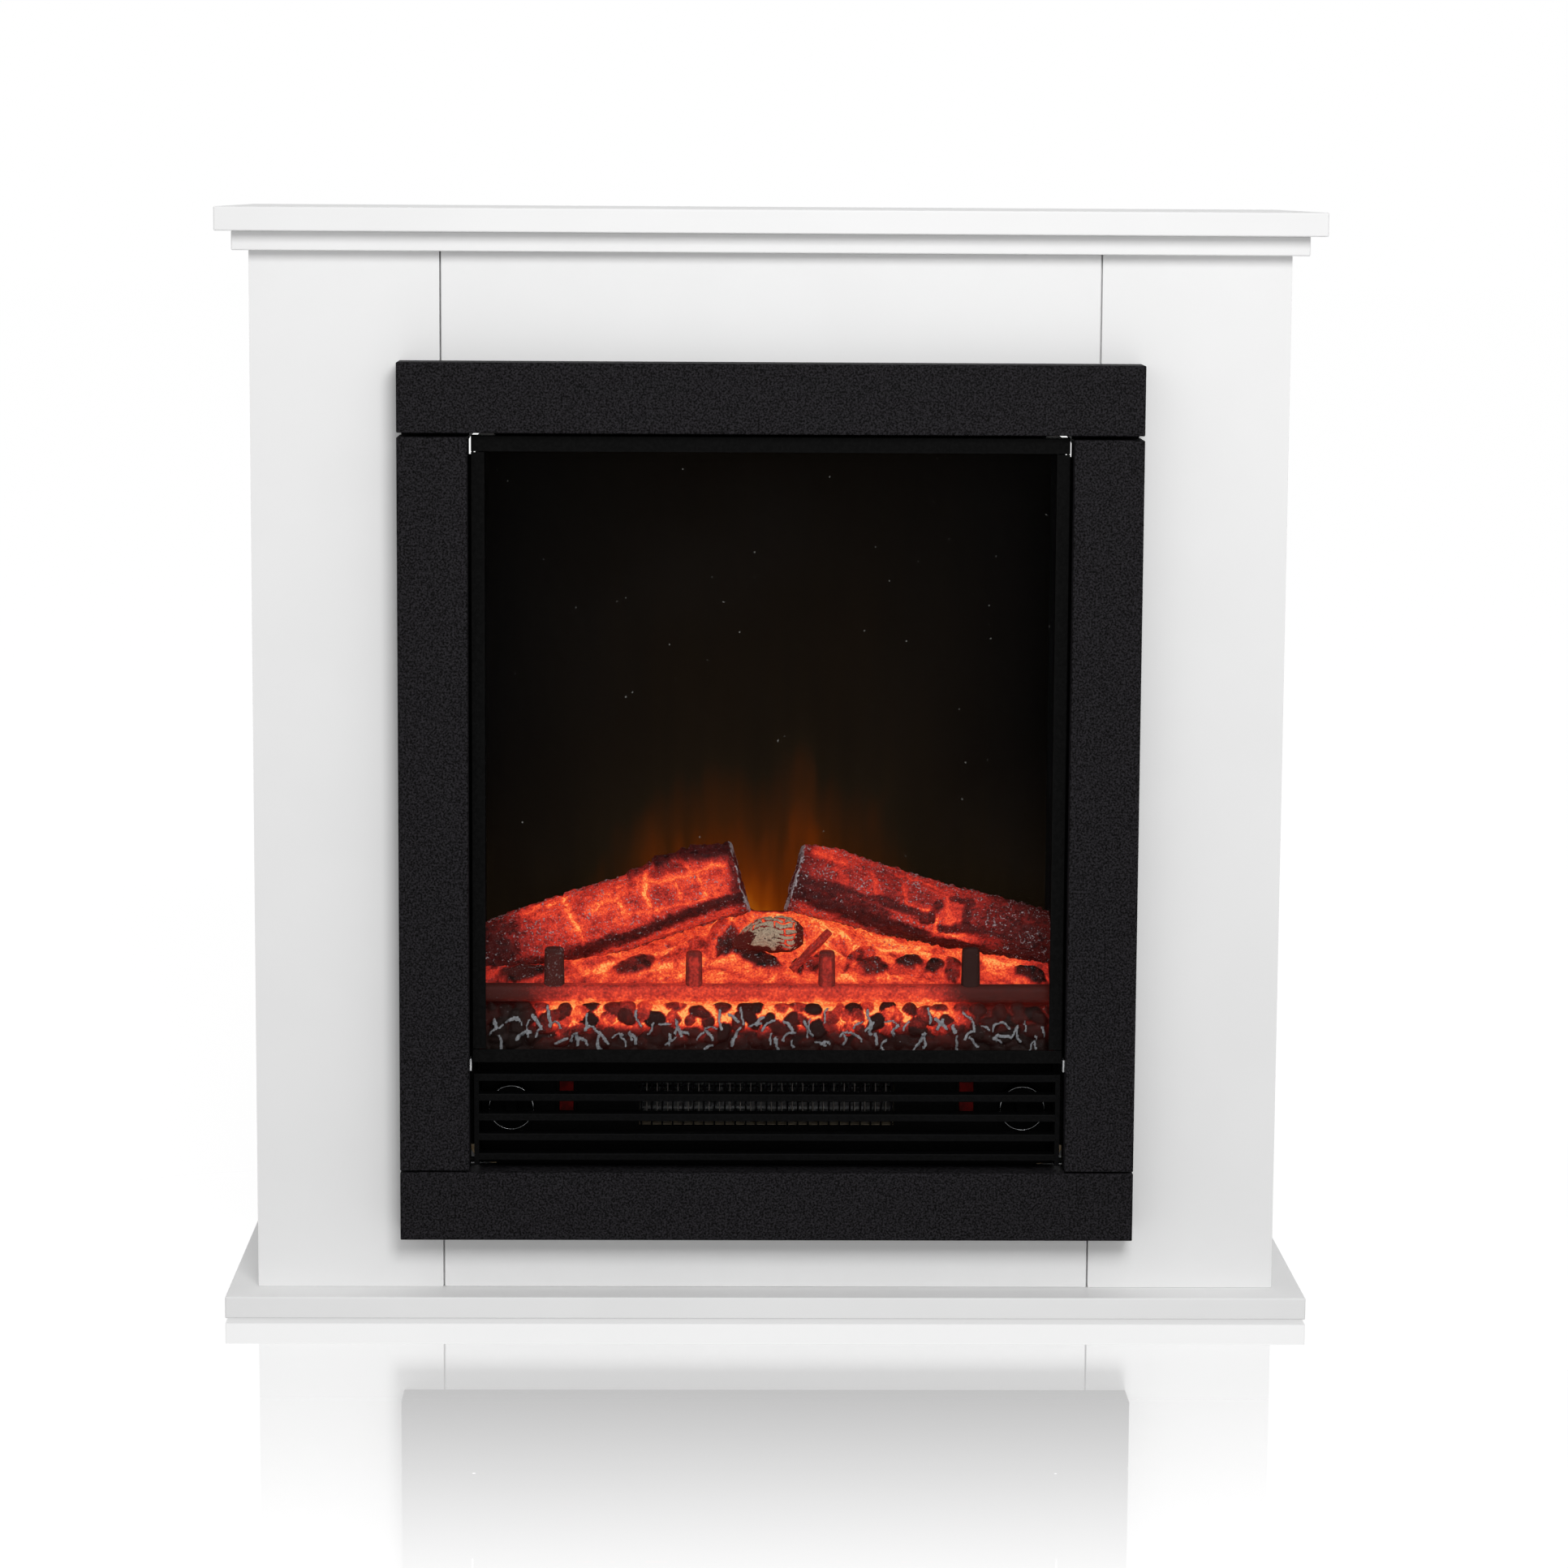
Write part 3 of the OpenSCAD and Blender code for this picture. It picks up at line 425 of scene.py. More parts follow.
def smoked_screen():
    """Dark diffuser with the light of the flames on it: tongues above the logs and a haze over them."""
    f = Finish("smoked_screen")
    x = f.axis("X")
    height = f.axis("Z") - (in_mm("flame_screen")[0][2] + FLAME_FOOT)
    sway = 40 * (f.grain(60, 2, stretch=(1, 1, 2.2)) - 0.5)
    tongue = f.grain(12, 2, stretch=(1, 1, 9), distortion=0.3)
    wisp = f.grain(30, 2, stretch=(1, 1, 3), seed=5.0).rise(0.5, 0.75)
    near = 0.2 + 0.8 * abs(x + sway + FLAME_LEFT).rise(135, 5)
    # Painted light of the flames on the diffuser, set as its emission
    flame = height.rise(140, -45) * near * (0.5 + 1.1 * tongue) + 0.4 * wisp * height.rise(170, 30) * near
    haze = abs(x).rise(215, 40) * (0.1 + 0.75 * height.rise(380, 40)) * (0.7 + 0.6 * tongue)
    return f.set(
        Base_Color=f.mix(tongue, (0.0004, 0.0004, 0.0004), (0.001, 0.0008, 0.0008)),
        Emission_Color=f.ramp(0.68 * flame + 0.25 * haze, [
            (0.0, (0.0002, 0.0001, 0.0)), (0.25, (0.0078, 0.0044, 0.0016)), (0.45, (0.034, 0.0088, 0.0012)),
            (0.7, (0.11, 0.0175, 0.0005)), (0.9, (0.2, 0.034, 0.0005)), (1.0, (0.28, 0.062, 0.002))]),
        Emission_Strength=1.0,
        Roughness=0.3 + 0.1 * f.grain(40, 2),
        Specular_IOR_Level=0.01)


def resin(name, body, ash, grit=1.4, depth=0.25, fleck_size=1.5):
    """Painted translucent moulding, with painted glow where the mesh carries it: the lamps' light through
    the resin.

    The mesh also says how densely the ash paint covers it, from a few flecks to a whole coat.
    """
    f = Finish(name)
    grain = f.grain(grit, 3)
    blot = f.grain(grit * 5, 3, seed=3.0)
    fleck = f.grain(fleck_size, 1, seed=6.0)
    paint = (1.15 * f.painted("ash_paint") + fleck - 1).rise(0.0, 0.12)
    # Painted glow: heat is the painted light of the lamps behind the resin, given as emission
    heat = f.painted("ember_heat") * (1.35 * grain + 0.65 * blot)
    return f.set(
        Base_Color=f.mix(paint, body, f.mix(grain.rise(0.35, 0.65), tuple(0.6 * c for c in ash), ash)),
        Emission_Color=f.ramp(heat * (1 - 0.7 * paint), GLOW),
        Emission_Strength=1.0,
        Roughness=0.4 + 0.3 * grain,
        Normal=f.bump(0.5 * grain + 0.3 * blot + 0.3 * paint, depth),
        Specular_IOR_Level=0.05)


def ember_resin():
    return resin("ember_resin", (0.012, 0.007, 0.006), (0.3, 0.31, 0.33))


def log_resin():
    return resin("log_resin", (0.03, 0.008, 0.008), (0.44, 0.39, 0.41), grit=1.1, depth=0.8, fleck_size=1.5)


def pale_log_resin():
    return resin("pale_log_resin", (0.04, 0.01, 0.008), (0.5, 0.38, 0.27), grit=1.2, depth=0.4)


def grate_resin():
    return resin("grate_resin", (0.03, 0.012, 0.01), (0.16, 0.13, 0.13), grit=1.8, depth=0.12)


# Each finish has the name of the record's material slot that it dresses, but for chrome
FINISHES = [white_board, raw_board, pine, grey_plastic, zinc, black_trim, black_sheet, glass, ember_resin,
            log_resin, pale_log_resin, grate_resin, smoked_screen, bright_sheet, motor_steel, bronze,
            circuit_board, control_plastic, knob_plastic, switch_plastic, red_rocker, mica,
            resistance_ribbon, rotor_aluminium, gland_plastic, flap_plastic, chrome]
made = {finish.__name__: finish() for finish in FINISHES}


def coat_cad_nodes():
    """Each CAD node keeps its slot and gets that slot's full finish."""
    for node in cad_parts.values():
        for held in node.material_slots:
            held.material = made[held.material.name]


# Bevel width of the named nodes' sharp edges
SOFT_EDGES = {
    0.8: ["left_side_panel", "right_side_panel", "left_pilaster", "right_pilaster", "centre_panel",
          "back_top_rail", "back_bottom_rail"],
    0.3: ["glass_left_strip", "glass_right_strip", "glass_top_strip", "glass_ledge", "control_panel",
          "heat_switch_case", "light_switch_case", "heat_rocker", "light_rocker", "element_frame",
          "magnet_catches", "terminal_block"],
}


def soften_edges():
    """Small bevels on the sharp edges of flat pieces."""
    for width, names in SOFT_EDGES.items():
        for name in names:
            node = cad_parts[name]
            weld = node.modifiers.new("weld", "WELD")
            weld.merge_threshold = 0.01 * MM
            bevel = node.modifiers.new("edge", "BEVEL")
            bevel.width = width * MM
            bevel.segments = 2
            bevel.limit_method = "ANGLE"
            bevel.angle_limit = math.radians(40)
            node.modifiers.new("normals", "WEIGHTED_NORMAL")


# ---- Mesh helpers ----

def rough(points, size, octaves=1, seed=0.0):
    """Smooth noise of about -1 to 1 at each point, with features of that size."""
    flat = points.reshape(-1, 3) / size + seed
    values = [noise.fractal(Vector(p), 1.0, 2.0, octaves) for p in flat]
    return np.array(values).reshape(points.shape[:-1])


def rise(values, low, high):
    """0 below low, 1 above high and smooth between them."""
    share = np.clip((values - low) / (high - low), 0, 1)
    return share * share * (3 - 2 * share)


def near_line(a, b, line):
    """Distance from each place (a, b) on a surface to a line of points."""
    best = np.full(a.shape, 1e9)
    for (a0, b0), (a1, b1) in zip(line[:-1], line[1:]):
        da, db = a1 - a0, b1 - b0
        share = np.clip(((a - a0) * da + (b - b0) * db) / (da * da + db * db), 0, 1)
        best = np.minimum(best, np.hypot(a - a0 - share * da, b - b0 - share * db))
    return best


def grid_piece(name, points, finish, fields=None, wrap=False):
    """A piece over a grid of points in millimetres, which carries one value per point for each field."""
    rows, columns = points.shape[:2]
    index = np.arange(rows * columns).reshape(rows, columns)
    if wrap:
        index = np.hstack([index, index[:, :1]])
    quads = np.stack([index[:-1, :-1], index[:-1, 1:], index[1:, 1:], index[1:, :-1]], axis=-1)
    faces = quads.reshape(-1, 4).tolist()
    if wrap:
        faces += [index[0, -2::-1].tolist(), index[-1, :-1].tolist()]
    mesh = bpy.data.meshes.new(name)
    mesh.from_pydata((points.reshape(-1, 3) * MM).tolist(), [], faces)
    for field, values in (fields or {}).items():
        layer = mesh.attributes.new(field, "FLOAT", "POINT")
        layer.data.foreach_set("value", values.astype(np.float32).ravel())
    mesh.shade_smooth()
    mesh.materials.append(made[finish])
    piece = bpy.data.objects.new(name, mesh)
    bpy.context.scene.collection.objects.link(piece)
    return piece


def join_pieces(name, parts):
    """Several grid pieces of one finish as one piece."""
    mesh = bmesh.new()
    for part in parts:
        mesh.from_mesh(part.data)
    joined = parts[0]
    mesh.to_mesh(joined.data)
    mesh.free()
    for part in parts[1:]:
        bpy.data.objects.remove(part)
    joined.name = name
    return joined


# ---- The two big logs ----

LOG_TILT = math.radians(16)
LOG_END = np.array([18.0, -60.0, 293.0])
LOG_GIRTH = 23.0
LOG_LENGTH = 196.0
LOG_STEP = 1.0
# Gap that the logs keep to the sides of the chamber
SIDE_GAP = 0.8
# The fire is looked down on by this angle, so its markings are laid out as seen along that slope
VIEW_SLOPE = 0.165


def log_grid(length, radius, step, cap_shares=(0.03, 0.35, 0.65, 0.88, 0.97)):
    """Rows along a log with closed ends: distance along, share of the radius, and angle from the front."""
    first_row = 0.9
    body = np.arange(first_row, length - first_row, step)
    along = np.concatenate([np.zeros(len(cap_shares)), body, np.full(len(cap_shares), length)])
    share = np.concatenate([cap_shares, np.ones(len(body)), cap_shares[::-1]])
    around = np.linspace(-math.pi, math.pi, int(2 * math.pi * radius / step), endpoint=False)
    return np.broadcast_arrays(along[:, None], share[:, None], around[None, :])


def on_log(side, along, lift, radius, around):
    """Points of a log that starts near the middle and slopes down to that side."""
    axis = np.array([side * math.cos(LOG_TILT), 0, -math.sin(LOG_TILT)])
    upward = np.array([side * math.sin(LOG_TILT), 0, math.cos(LOG_TILT)])
    front = np.array([0, -1.0, 0])
    start = LOG_END * (side, 1, 1)
    out = np.cos(around)[..., None] * front + np.sin(around)[..., None] * upward
    return start + along[..., None] * axis + lift[..., None] * upward + radius[..., None] * out


def bark_log(name, side, girth, cracks, bands, crusts, greyness, seed):
    """A charred log: blocks of bark between glowing cracks, dark bands, raised crusts and pale flecks.

    Girth is a list of (distance along, radius, rise of the middle). A crack is (half width, painted glow,
    line), a band (half width, darkness, line) and a crust (half width, height, darkness, line), where each
    line runs through (distance along, seen distance up from the log's middle line).
    """
    along, share, around = log_grid(LOG_LENGTH, LOG_GIRTH, LOG_STEP)
    local = np.stack([along, around * LOG_GIRTH, np.full(along.shape, seed)], axis=-1)
    ragged = 1.6 * rough(local * (0.2, 1, 1), 7, 2, 3.0)
    along = along + ragged * (1 - rise(along, 0, 14))
    places, radii, lifts = zip(*girth)
    radius = np.interp(along, places, radii)
    middle = np.interp(along, places, lifts)
    seen = np.cos(around - VIEW_SLOPE)
    a = along + 1.5 * rough(local, 8, 2)
    b = middle + radius * np.sin(around - VIEW_SLOPE) + 1.3 * rough(local + 40, 6, 2)
    crack = np.zeros(along.shape)
    halo = np.zeros(along.shape)
    for width, heat, line in cracks:
        edge = near_line(a, b, line)
        crack = np.maximum(crack, heat * np.exp(-(edge / width) ** 2))
        halo = np.maximum(halo, heat * np.exp(-(edge / (4.5 * width)) ** 2))
    broad = rough(local * (1 / 2.5, 1, 1), 13, 2, seed + 30)
    char = np.zeros(along.shape)
    for width, dark, line in bands:
        edge = near_line(a, b, line) + 1.5 * broad
        char = np.maximum(char, dark * (1 - rise(edge, width * 0.5, width * 1.4)))
    raised = np.zeros(along.shape)
    for width, height, dark, line in crusts:
        inside = 1 - rise(near_line(a, b, line), width * 0.8, width * 1.1)
        inside *= seen > -0.6
        raised = np.maximum(raised, height * inside)
        char = np.maximum(char, dark * inside)
    fibres = rough(local * (1 / 14, 1, 1), 1.5, 2, seed)
    knobs = rough(local, 4.0, 3, seed + 9)
    flake = rough(local, 1.9, 2, seed + 21)
    top = rise(-seen, -0.5, 0.1)
    outer = rise(along, 125, 178)
    inner = 1 - rise(along, 2, 12)
    relief = (raised - 1.5 * np.clip(crack, 0, 1) + 0.7 * fibres + knobs * (0.8 + 0.9 * char + 0.8 * top)
              + 0.5 * broad + 0.45 * flake)
    points = on_log(side, along, middle, (radius + relief) * share, around)
    edge_x = in_mm("chamber_deck")[1][0] - SIDE_GAP
    points[..., 0] = np.clip(points[..., 0], -edge_x, edge_x)
    # Painted glow of the lamps' light through the resin: brightest at the cracks, dimmer in the dark bands,
    # on top and at both ends
    heat = 0.54 + 0.08 * broad + 0.1 * fibres + 0.08 * knobs + 0.14 * halo + 0.28 * crack
    heat *= (1 - 0.74 * char) * (1 - 0.45 * top) * (1 - 0.5 * outer) * (1 - 0.35 * inner)
    heat -= 0.15 * rise(flake, 0.1, 0.5)
    heat = np.where(share < 0.9, 0.12, heat)
    clusters = 0.07 * rough(local, 8, 2, seed + 50)
    ash = 0.3 + clusters + 0.06 * top + 0.03 * outer + greyness - 0.07 * np.clip(char, 0, 1)
    ash *= 1 - 0.9 * np.clip(crack * 1.3, 0, 1)
    # Pale paint over the log's cut end: its pale end together with a painted highlight along the rim
    ash = np.where((along < 0.7 + 0.8 * knobs) & (share > 0.75), 0.6, ash)
    fields = {"ember_heat": np.clip(heat, 0, 1), "ash_paint": np.clip(ash, 0, 1)}
    return grid_piece(name, points, "log_resin", fields, wrap=True)


def make_logs():
    left = bark_log("left_log_bark", -1, girth=[
        (0, 22.5, 0.5), (20, 24, 2.8), (50, 25.5, 3.5), (85, 25, 0.5), (120, 24, 0.5), (160, 22.3, 0.5),
        (196, 20, -0.5),
    ], cracks=[
        (1.2, 0.75, [(2, 13), (8, 14), (16, 16), (32, 14), (50, 15), (62, 18)]),
        (0.8, 0.55, [(9, 14), (9, 8)]),
        (0.9, 0.75, [(27, 12), (25, 4), (25, -3)]),
        (1.0, 0.7, [(47, 15), (43, 10), (43, 0)]),
        (1.4, 1.0, [(64, 17), (66, 9), (63, 1)]),
        (1.1, 0.8, [(63, 26), (62, 19)]),
        (1.2, 0.85, [(36, 27), (32, 18)]),
        (1.5, 0.85, [(101, 8), (97, 11), (90, 13), (85, 9), (82, 4), (83, 0)]),
        (1.3, 0.6, [(82, 19), (85, 9)]),
        (0.9, 0.5, [(80, -1), (55, -4), (38, -5), (16, -6)]),
        (1.3, 0.95, [(122, 24), (119, 16), (119, 7), (115, -2), (115, -13)]),
        (1.8, 0.7, [(150, 19), (140, 21)]),
        (1.6, 0.7, [(132, 20), (127, 21)]),
        (1.0, 0.7, [(165, 5), (161, -7)]),
    ], bands=[
        (4.5, 0.95, [(-2, -11), (26, -10), (50, -13), (73, -15), (95, -15), (118, -18)]),
        (7, 0.8, [(118, -19), (140, -20), (165, -16), (195, -12)]),
        (9, 0.8, [(180, 8), (168, -4), (190, -2)]),
        (5, 0.5, [(160, 13), (185, 16)]),
        (4, 0.55, [(1, 14), (4, -4)]),
        (3.2, 0.45, [(36, 21), (47, 22), (57, 21)]),
    ], crusts=[
        (9.5, 4.6, 1.05, [(3, 25), (14, 28), (30, 31)]),
        (5.0, 3.4, 1.0, [(38, 30), (51, 27)]),
        (3.0, 1.2, 0.6, [(60, 27), (72, 26)]),
    ], greyness=0.05, seed=3.0)
    right = bark_log("right_log_bark", 1, girth=[
        (0, 23.5, 3.5), (20, 25, 5), (50, 23.5, 5.5), (80, 22.5, 5.5), (103, 21, 6.5), (140, 20.2, 9),
        (196, 19.5, 9.5),
    ], cracks=[
        (1.1, 0.8, [(49, 21), (54, 14), (56, 7)]),
        (1.1, 0.95, [(74, 19), (77, 7), (88, 6), (99, 7), (102, 0), (104, -9)]),
        (1.2, 0.85, [(24, 17), (34, 12)]),
        (2.6, 0.6, [(8, 24), (30, 21)]),
        (2.0, 0.95, [(106, 18), (109, 1)]),
        (5.0, 0.5, [(113, 12), (114, 4)]),
        (1.5, 0.8, [(105, -9), (123, -4), (148, -2)]),
        (1.3, 0.75, [(160, 18), (176, 19)]),
        (1.0, 0.5, [(66, 24), (80, 25), (108, 22)]),
        (1.6, 0.5, [(68, -13), (82, -13)]),
    ], bands=[
        (3.4, 0.85, [(17, 3), (41, 4), (73, 3), (92, 2)]),
        (5.5, 0.97, [(-2, -5), (21, -8), (45, -10), (72, -12), (102, -13), (125, -12), (160, -10),
                     (190, -8)]),
        (8, 0.8, [(2, 0), (40, -3), (62, -6)]),
        (2.6, 0.9, [(106, -4), (130, 3), (153, 3)]),
        (2.6, 0.9, [(109, 19), (122, 19)]),
        (3.6, 0.85, [(94, -1), (101, 12)]),
        (3.4, 0.85, [(120, 18), (122, 5)]),
        (30, 0.7, [(150, 10), (195, 12)]),
        (14, 0.4, [(5, 12), (60, 14), (100, 22), (150, 16)]),
    ], crusts=[
        (5.0, 1.4, 0.3, [(58, 14), (70, 11)]),
        (4.0, 1.2, 0.85, [(93, 0), (97, 1)]),
    ], greyness=0.08, seed=11.0)
    for piece, node in ((left, "left_log"), (right, "right_log")):
        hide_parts(node)
        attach(piece, "surround")


# ---- The stub log ----

STUB_GIRTH = 11.5
STUB_STEP = 0.7
# Height and length of one pale strip of its bark
STRIP_H = 4.4
STRIP_L = 14


def make_stub_log():
    """Short log with pale strips of bark on top, a ragged tail to the left and a dark underside."""
    low, high = in_mm("stub_log")
    middle = (low + high) / 2 + (0, 0, 2)
    length = high[0] - low[0] + 6
    along, share, around = log_grid(length, STUB_GIRTH, STUB_STEP, (0.05, 0.5, 0.8, 0.95))
    local = np.stack([along, around * STUB_GIRTH, np.full(along.shape, 5.0)], axis=-1)
    body = np.interp(along, (0, 7, 15, 25, 37, 44, length), (3.0, 6.2, 9.6, 11.8, 11.2, 9.2, 5.5))
    row_place = around * STUB_GIRTH / STRIP_H + 0.9 * rough(local * (1 / 2, 1, 1), 9, 2)
    row = np.floor(row_place)
    strip_place = (along + 7.3 * row + 1.5 * rough(local, 5, 1)) / STRIP_L
    to_row_edge = np.abs(row_place - row - 0.5) * -STRIP_H + STRIP_H / 2
    to_strip_end = STRIP_L * (0.5 - np.abs(strip_place % 1 - 0.5))
    gap = 1 - rise(np.minimum(to_row_edge, to_strip_end), 0.2, 1.1)
    strand = rough(local * (1 / 10, 1, 1), 1.6, 3, 2.0)
    right = rise(along, length * 0.5, length * 0.8)
    high_up = rise(around, 0.35, 1.0)
    open_gap = gap * np.clip(right + high_up, 0.12, 1)
    pale = rise(around + 0.5 * rough(local, 6, 2, 7.0), -0.7, -0.4)
    pale = pale * rise(along + 7 * np.abs(around - 0.2), 13, 17)
    pale = pale * (1 - rise(along + 4 * rough(local, 4, 2, 9.0), length - 7, length - 4))
    relief = 1.5 * pale * (1 - open_gap) + 0.7 * strand + 1.1 * rough(local, 6, 3)
    start = middle - (length / 2 + 2, 0, 0)
    out = np.stack([np.zeros(around.shape), -np.cos(around), np.sin(around)], axis=-1)
    droop = -5.0 * (1 - rise(along, 0, 20))
    points = start + along[..., None] * (1, 0, 0) + ((body + relief) * share)[..., None] * out
    points[..., 2] += droop
    # Painted glow: the lamps' light through the gaps between the pale strips, most on the right and on top,
    # and dim elsewhere
    heat = 0.8 * pale * open_gap * (0.4 + 0.6 * np.clip(right + high_up, 0, 1)) + 0.16 * (1 - pale)
    ash = np.where(pale > 0.5, 0.7 - 0.6 * open_gap + 0.22 * strand, 0.33)
    fields = {"ember_heat": np.clip(heat, 0, 1), "ash_paint": np.clip(ash, 0, 1)}
    stub = grid_piece("stub_log_bark", points, "pale_log_resin", fields, wrap=True)
    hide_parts("stub_log")
    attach(stub, "surround")


# ---- The ember bed ----

BED_STEP = 0.9
# Seen heights between which the bed's top begins, above its ledge
TOP_LOW = 222
TOP_HIGH = 226
# Lean of the flow of embers towards the middle, in radians
FLOW_LEAN = 0.4


def bed_section(low, high):
    """The bed's outline from the foot of its front over the top to the foot of its back, Y and Z."""
    y0, z0 = low[1] + 3.5, low[2] + 0.3
    corners = [(y0, z0), (y0, z0 + 30), (y0 + 3, z0 + 34), (y0 + 14.5, z0 + 35), (y0 + 16, z0 + 50),
               (y0 + 30, z0 + 60), (y0 + 50, z0 + 71), (high[1] - 2, z0 + 79), (high[1] - 0.5, z0 + 77),
               (high[1] - 0.5, z0)]
    path = [np.array(corners[0])]
    for a, b in zip(corners[:-1], corners[1:]):
        a, b = np.array(a), np.array(b)
        pieces = max(1, round(np.linalg.norm(b - a) / BED_STEP))
        path += [a + (b - a) * i / pieces for i in range(1, pieces + 1)]
    path = np.array(path)
    for _ in range(3):
        path[1:-1] = (path[:-2] + 2 * path[1:-1] + path[2:]) / 4
    return path


def coal_lumps(x, s, rng, rows, pitch, sizes, height):
    """Lumps of many shapes in jittered rows over a strip.

    Gives the height of the tallest lump at each place, and that lump's tone from 0 to 1.
    """
    lift = np.zeros(x.shape)
    tone = np.zeros(x.shape)
    half = np.abs(x).max()
    for row, level in enumerate(rows):
        start = -half + pitch * (0.3 + 0.5 * (row % 2))
        for centre in np.arange(start, half, pitch):
            cx = centre + rng.uniform(-0.35, 0.35) * pitch
            cs = level + rng.uniform(-3, 3)
            lean = rng.uniform(-0.9, 0.9)
            wide, tall = rng.uniform(*sizes), rng.uniform(*sizes) * 0.7
            dx, ds = x - cx, s - cs
            across = (dx * math.cos(lean) + ds * math.sin(lean)) / wide
            along = (ds * math.cos(lean) - dx * math.sin(lean)) / tall
            inside = np.abs(across) ** 2.2 + np.abs(along) ** 2.2
            bump = height * rng.uniform(0.6, 1.15) * (1 - np.clip(inside, 0, 1)) ** 0.55
            tone = np.where(bump > lift, rng.uniform(0, 1), tone)
            lift = np.maximum(lift, bump)
    return lift, tone


def curled_strips(x, s, rng, count, low, high):
    """Short curled strips, like scraps of bark, mostly upright: 0 to 1 at each place."""
    ridge = np.zeros(x.shape)
    half = np.abs(x).max() - 3
    for number in range(count):
        across = (number + rng.uniform(0.1, 0.9)) / count * 2 * half - half
        place = np.array([across, rng.uniform(low, high)])
        heading = rng.normal(math.pi / 2, 0.45)
        bend = rng.normal(0, 0.27)
        step = rng.uniform(1.6, 3.2)
        line = [place]
        for _ in range(rng.integers(3, 6)):
            heading += bend + rng.normal(0, 0.2)
            line.append(line[-1] + step * np.array([math.cos(heading), math.sin(heading)]))
        width = rng.uniform(0.65, 1.15)
        shine = rng.uniform(0.8, 1.0)
        ridge = np.maximum(ridge, shine * np.exp(-(near_line(x, s, line) / width) ** 4))
    return ridge


BED_LUMPS = [
    # centre x, seen height, half length, half height, lift, lean, darkness (share of the painted glow taken
    # away)
    (-91, 237, 17, 6.5, 5.0, 0.3, 0.6),
    (-118, 240, 14, 4, 3.0, 0.15, 0.15),
    (-140, 236, 12, 4, 3.0, -0.2, 0.2),
    (-168, 233, 20, 6, 4.0, 0.1, 0.65),
    (-58, 246, 20, 5, 3.0, 0.35, 0.25),
    (-35, 252, 13, 5, 3.0, 0.6, 0.3),
    # Painted shadow under the stub log
    (-8, 243, 19, 5.5, 4.5, -0.25, 0.8),
    (-28, 249, 9, 5, 3.5, 0.5, 0.65),
    (22, 237, 5, 5, 5.0, 0.0, 0.7),
    (33, 240, 9, 5, 3.0, 0.7, 0.45),
    (74, 238, 12, 6, 4.5, -0.15, 0.6),
    (67, 246, 13, 4.5, 3.0, 0.2, 0.4),
    (98, 241, 10, 4.5, 4.5, 0.05, 0.75),
    (115, 238, 8, 5.0, 4.5, 0.3, 0.75),
    (128, 236, 7, 9, 3.0, 0.0, 0.55),
    (182, 233, 12, 5.5, 4.0, -0.2, 0.75),
]
BED_GLOWS = [
    # centre x, seen height, half length, half height, extra painted glow
    (-22, 234, 46, 6.0, 0.26),
    (-70, 233, 20, 4.0, 0.1),
    (-122, 235, 20, 4.5, 0.2),
    (60, 230, 42, 2.6, 0.26),
    (5, 262, 26, 5.0, 0.1),
    (62, 253, 40, 4.0, 0.14),
    (82, 248, 30, 4.0, 0.08),
    (158, 238, 13, 7.0, 0.3),
    (-100, 247, 16, 3.0, 0.1),
]
BED_STREAKS = [
    # half width, extra painted glow (taken away where negative), line of (x, seen height)
    (1.3, 0.2, [(-118, 236), (-84, 244), (-48, 252), (-16, 268)]),
    (1.1, 0.14, [(-72, 236), (-46, 243), (-24, 256)]),
    (0.9, 0.14, [(-60, 231), (-40, 240), (-22, 241)]),
    (1.2, 0.16, [(24, 264), (58, 262), (90, 254), (118, 243)]),
    (1.0, 0.14, [(48, 258), (60, 250), (86, 249), (112, 246)]),
    (1.0, 0.12, [(50, 236), (62, 232), (90, 231)]),
    (0.9, -0.2, [(-38, 238), (-12, 230), (2, 232)]),
    (0.8, -0.16, [(-30, 231), (-8, 238), (4, 240)]),
    (1.0, -0.2, [(50, 254), (58, 242), (52, 233)]),
    (1.0, -0.18, [(86, 246), (122, 250)]),
]


def front_coals(x, s, wx, ws, local, middle, rng):
    """Front of the bed: dark coals with curled pale strips, lit from behind near the top.

    Gives the lift, the painted glow, how much of a strip there is, and how far the light reaches to the
    sides.
    """
    coals, tone = coal_lumps(wx, ws, rng, (3, 11, 19, 27, 34), 12.5, (5, 9), 4.6)
    strip = curled_strips(wx, s, rng, 84, 5, 26)
    coal_gap = 1 - rise(coals, 0.3, 2.3)
    lit_x = (1 - 0.95 * rise(-x, 140, 172)) * (1 - 0.8 * rise(x, 112, 150))
    lit_s = rise(s + 5 * rough(local, 24, 2), 7, 29)
    rim = coal_gap * (0.25 + 0.75 * lit_s)
    # Painted glow of the light from behind: bright rims in the gaps between coals near the top, dim lower
    # down
    heat = (rim * rise(s, 14, 25) + 0.72 * tone * lit_s * (0.8 + 0.5 * middle) + 0.03) * lit_x
    heat *= 1 - 0.9 * strip
    return coals + 1.8 * strip + 0.4 * middle, heat, strip, lit_x


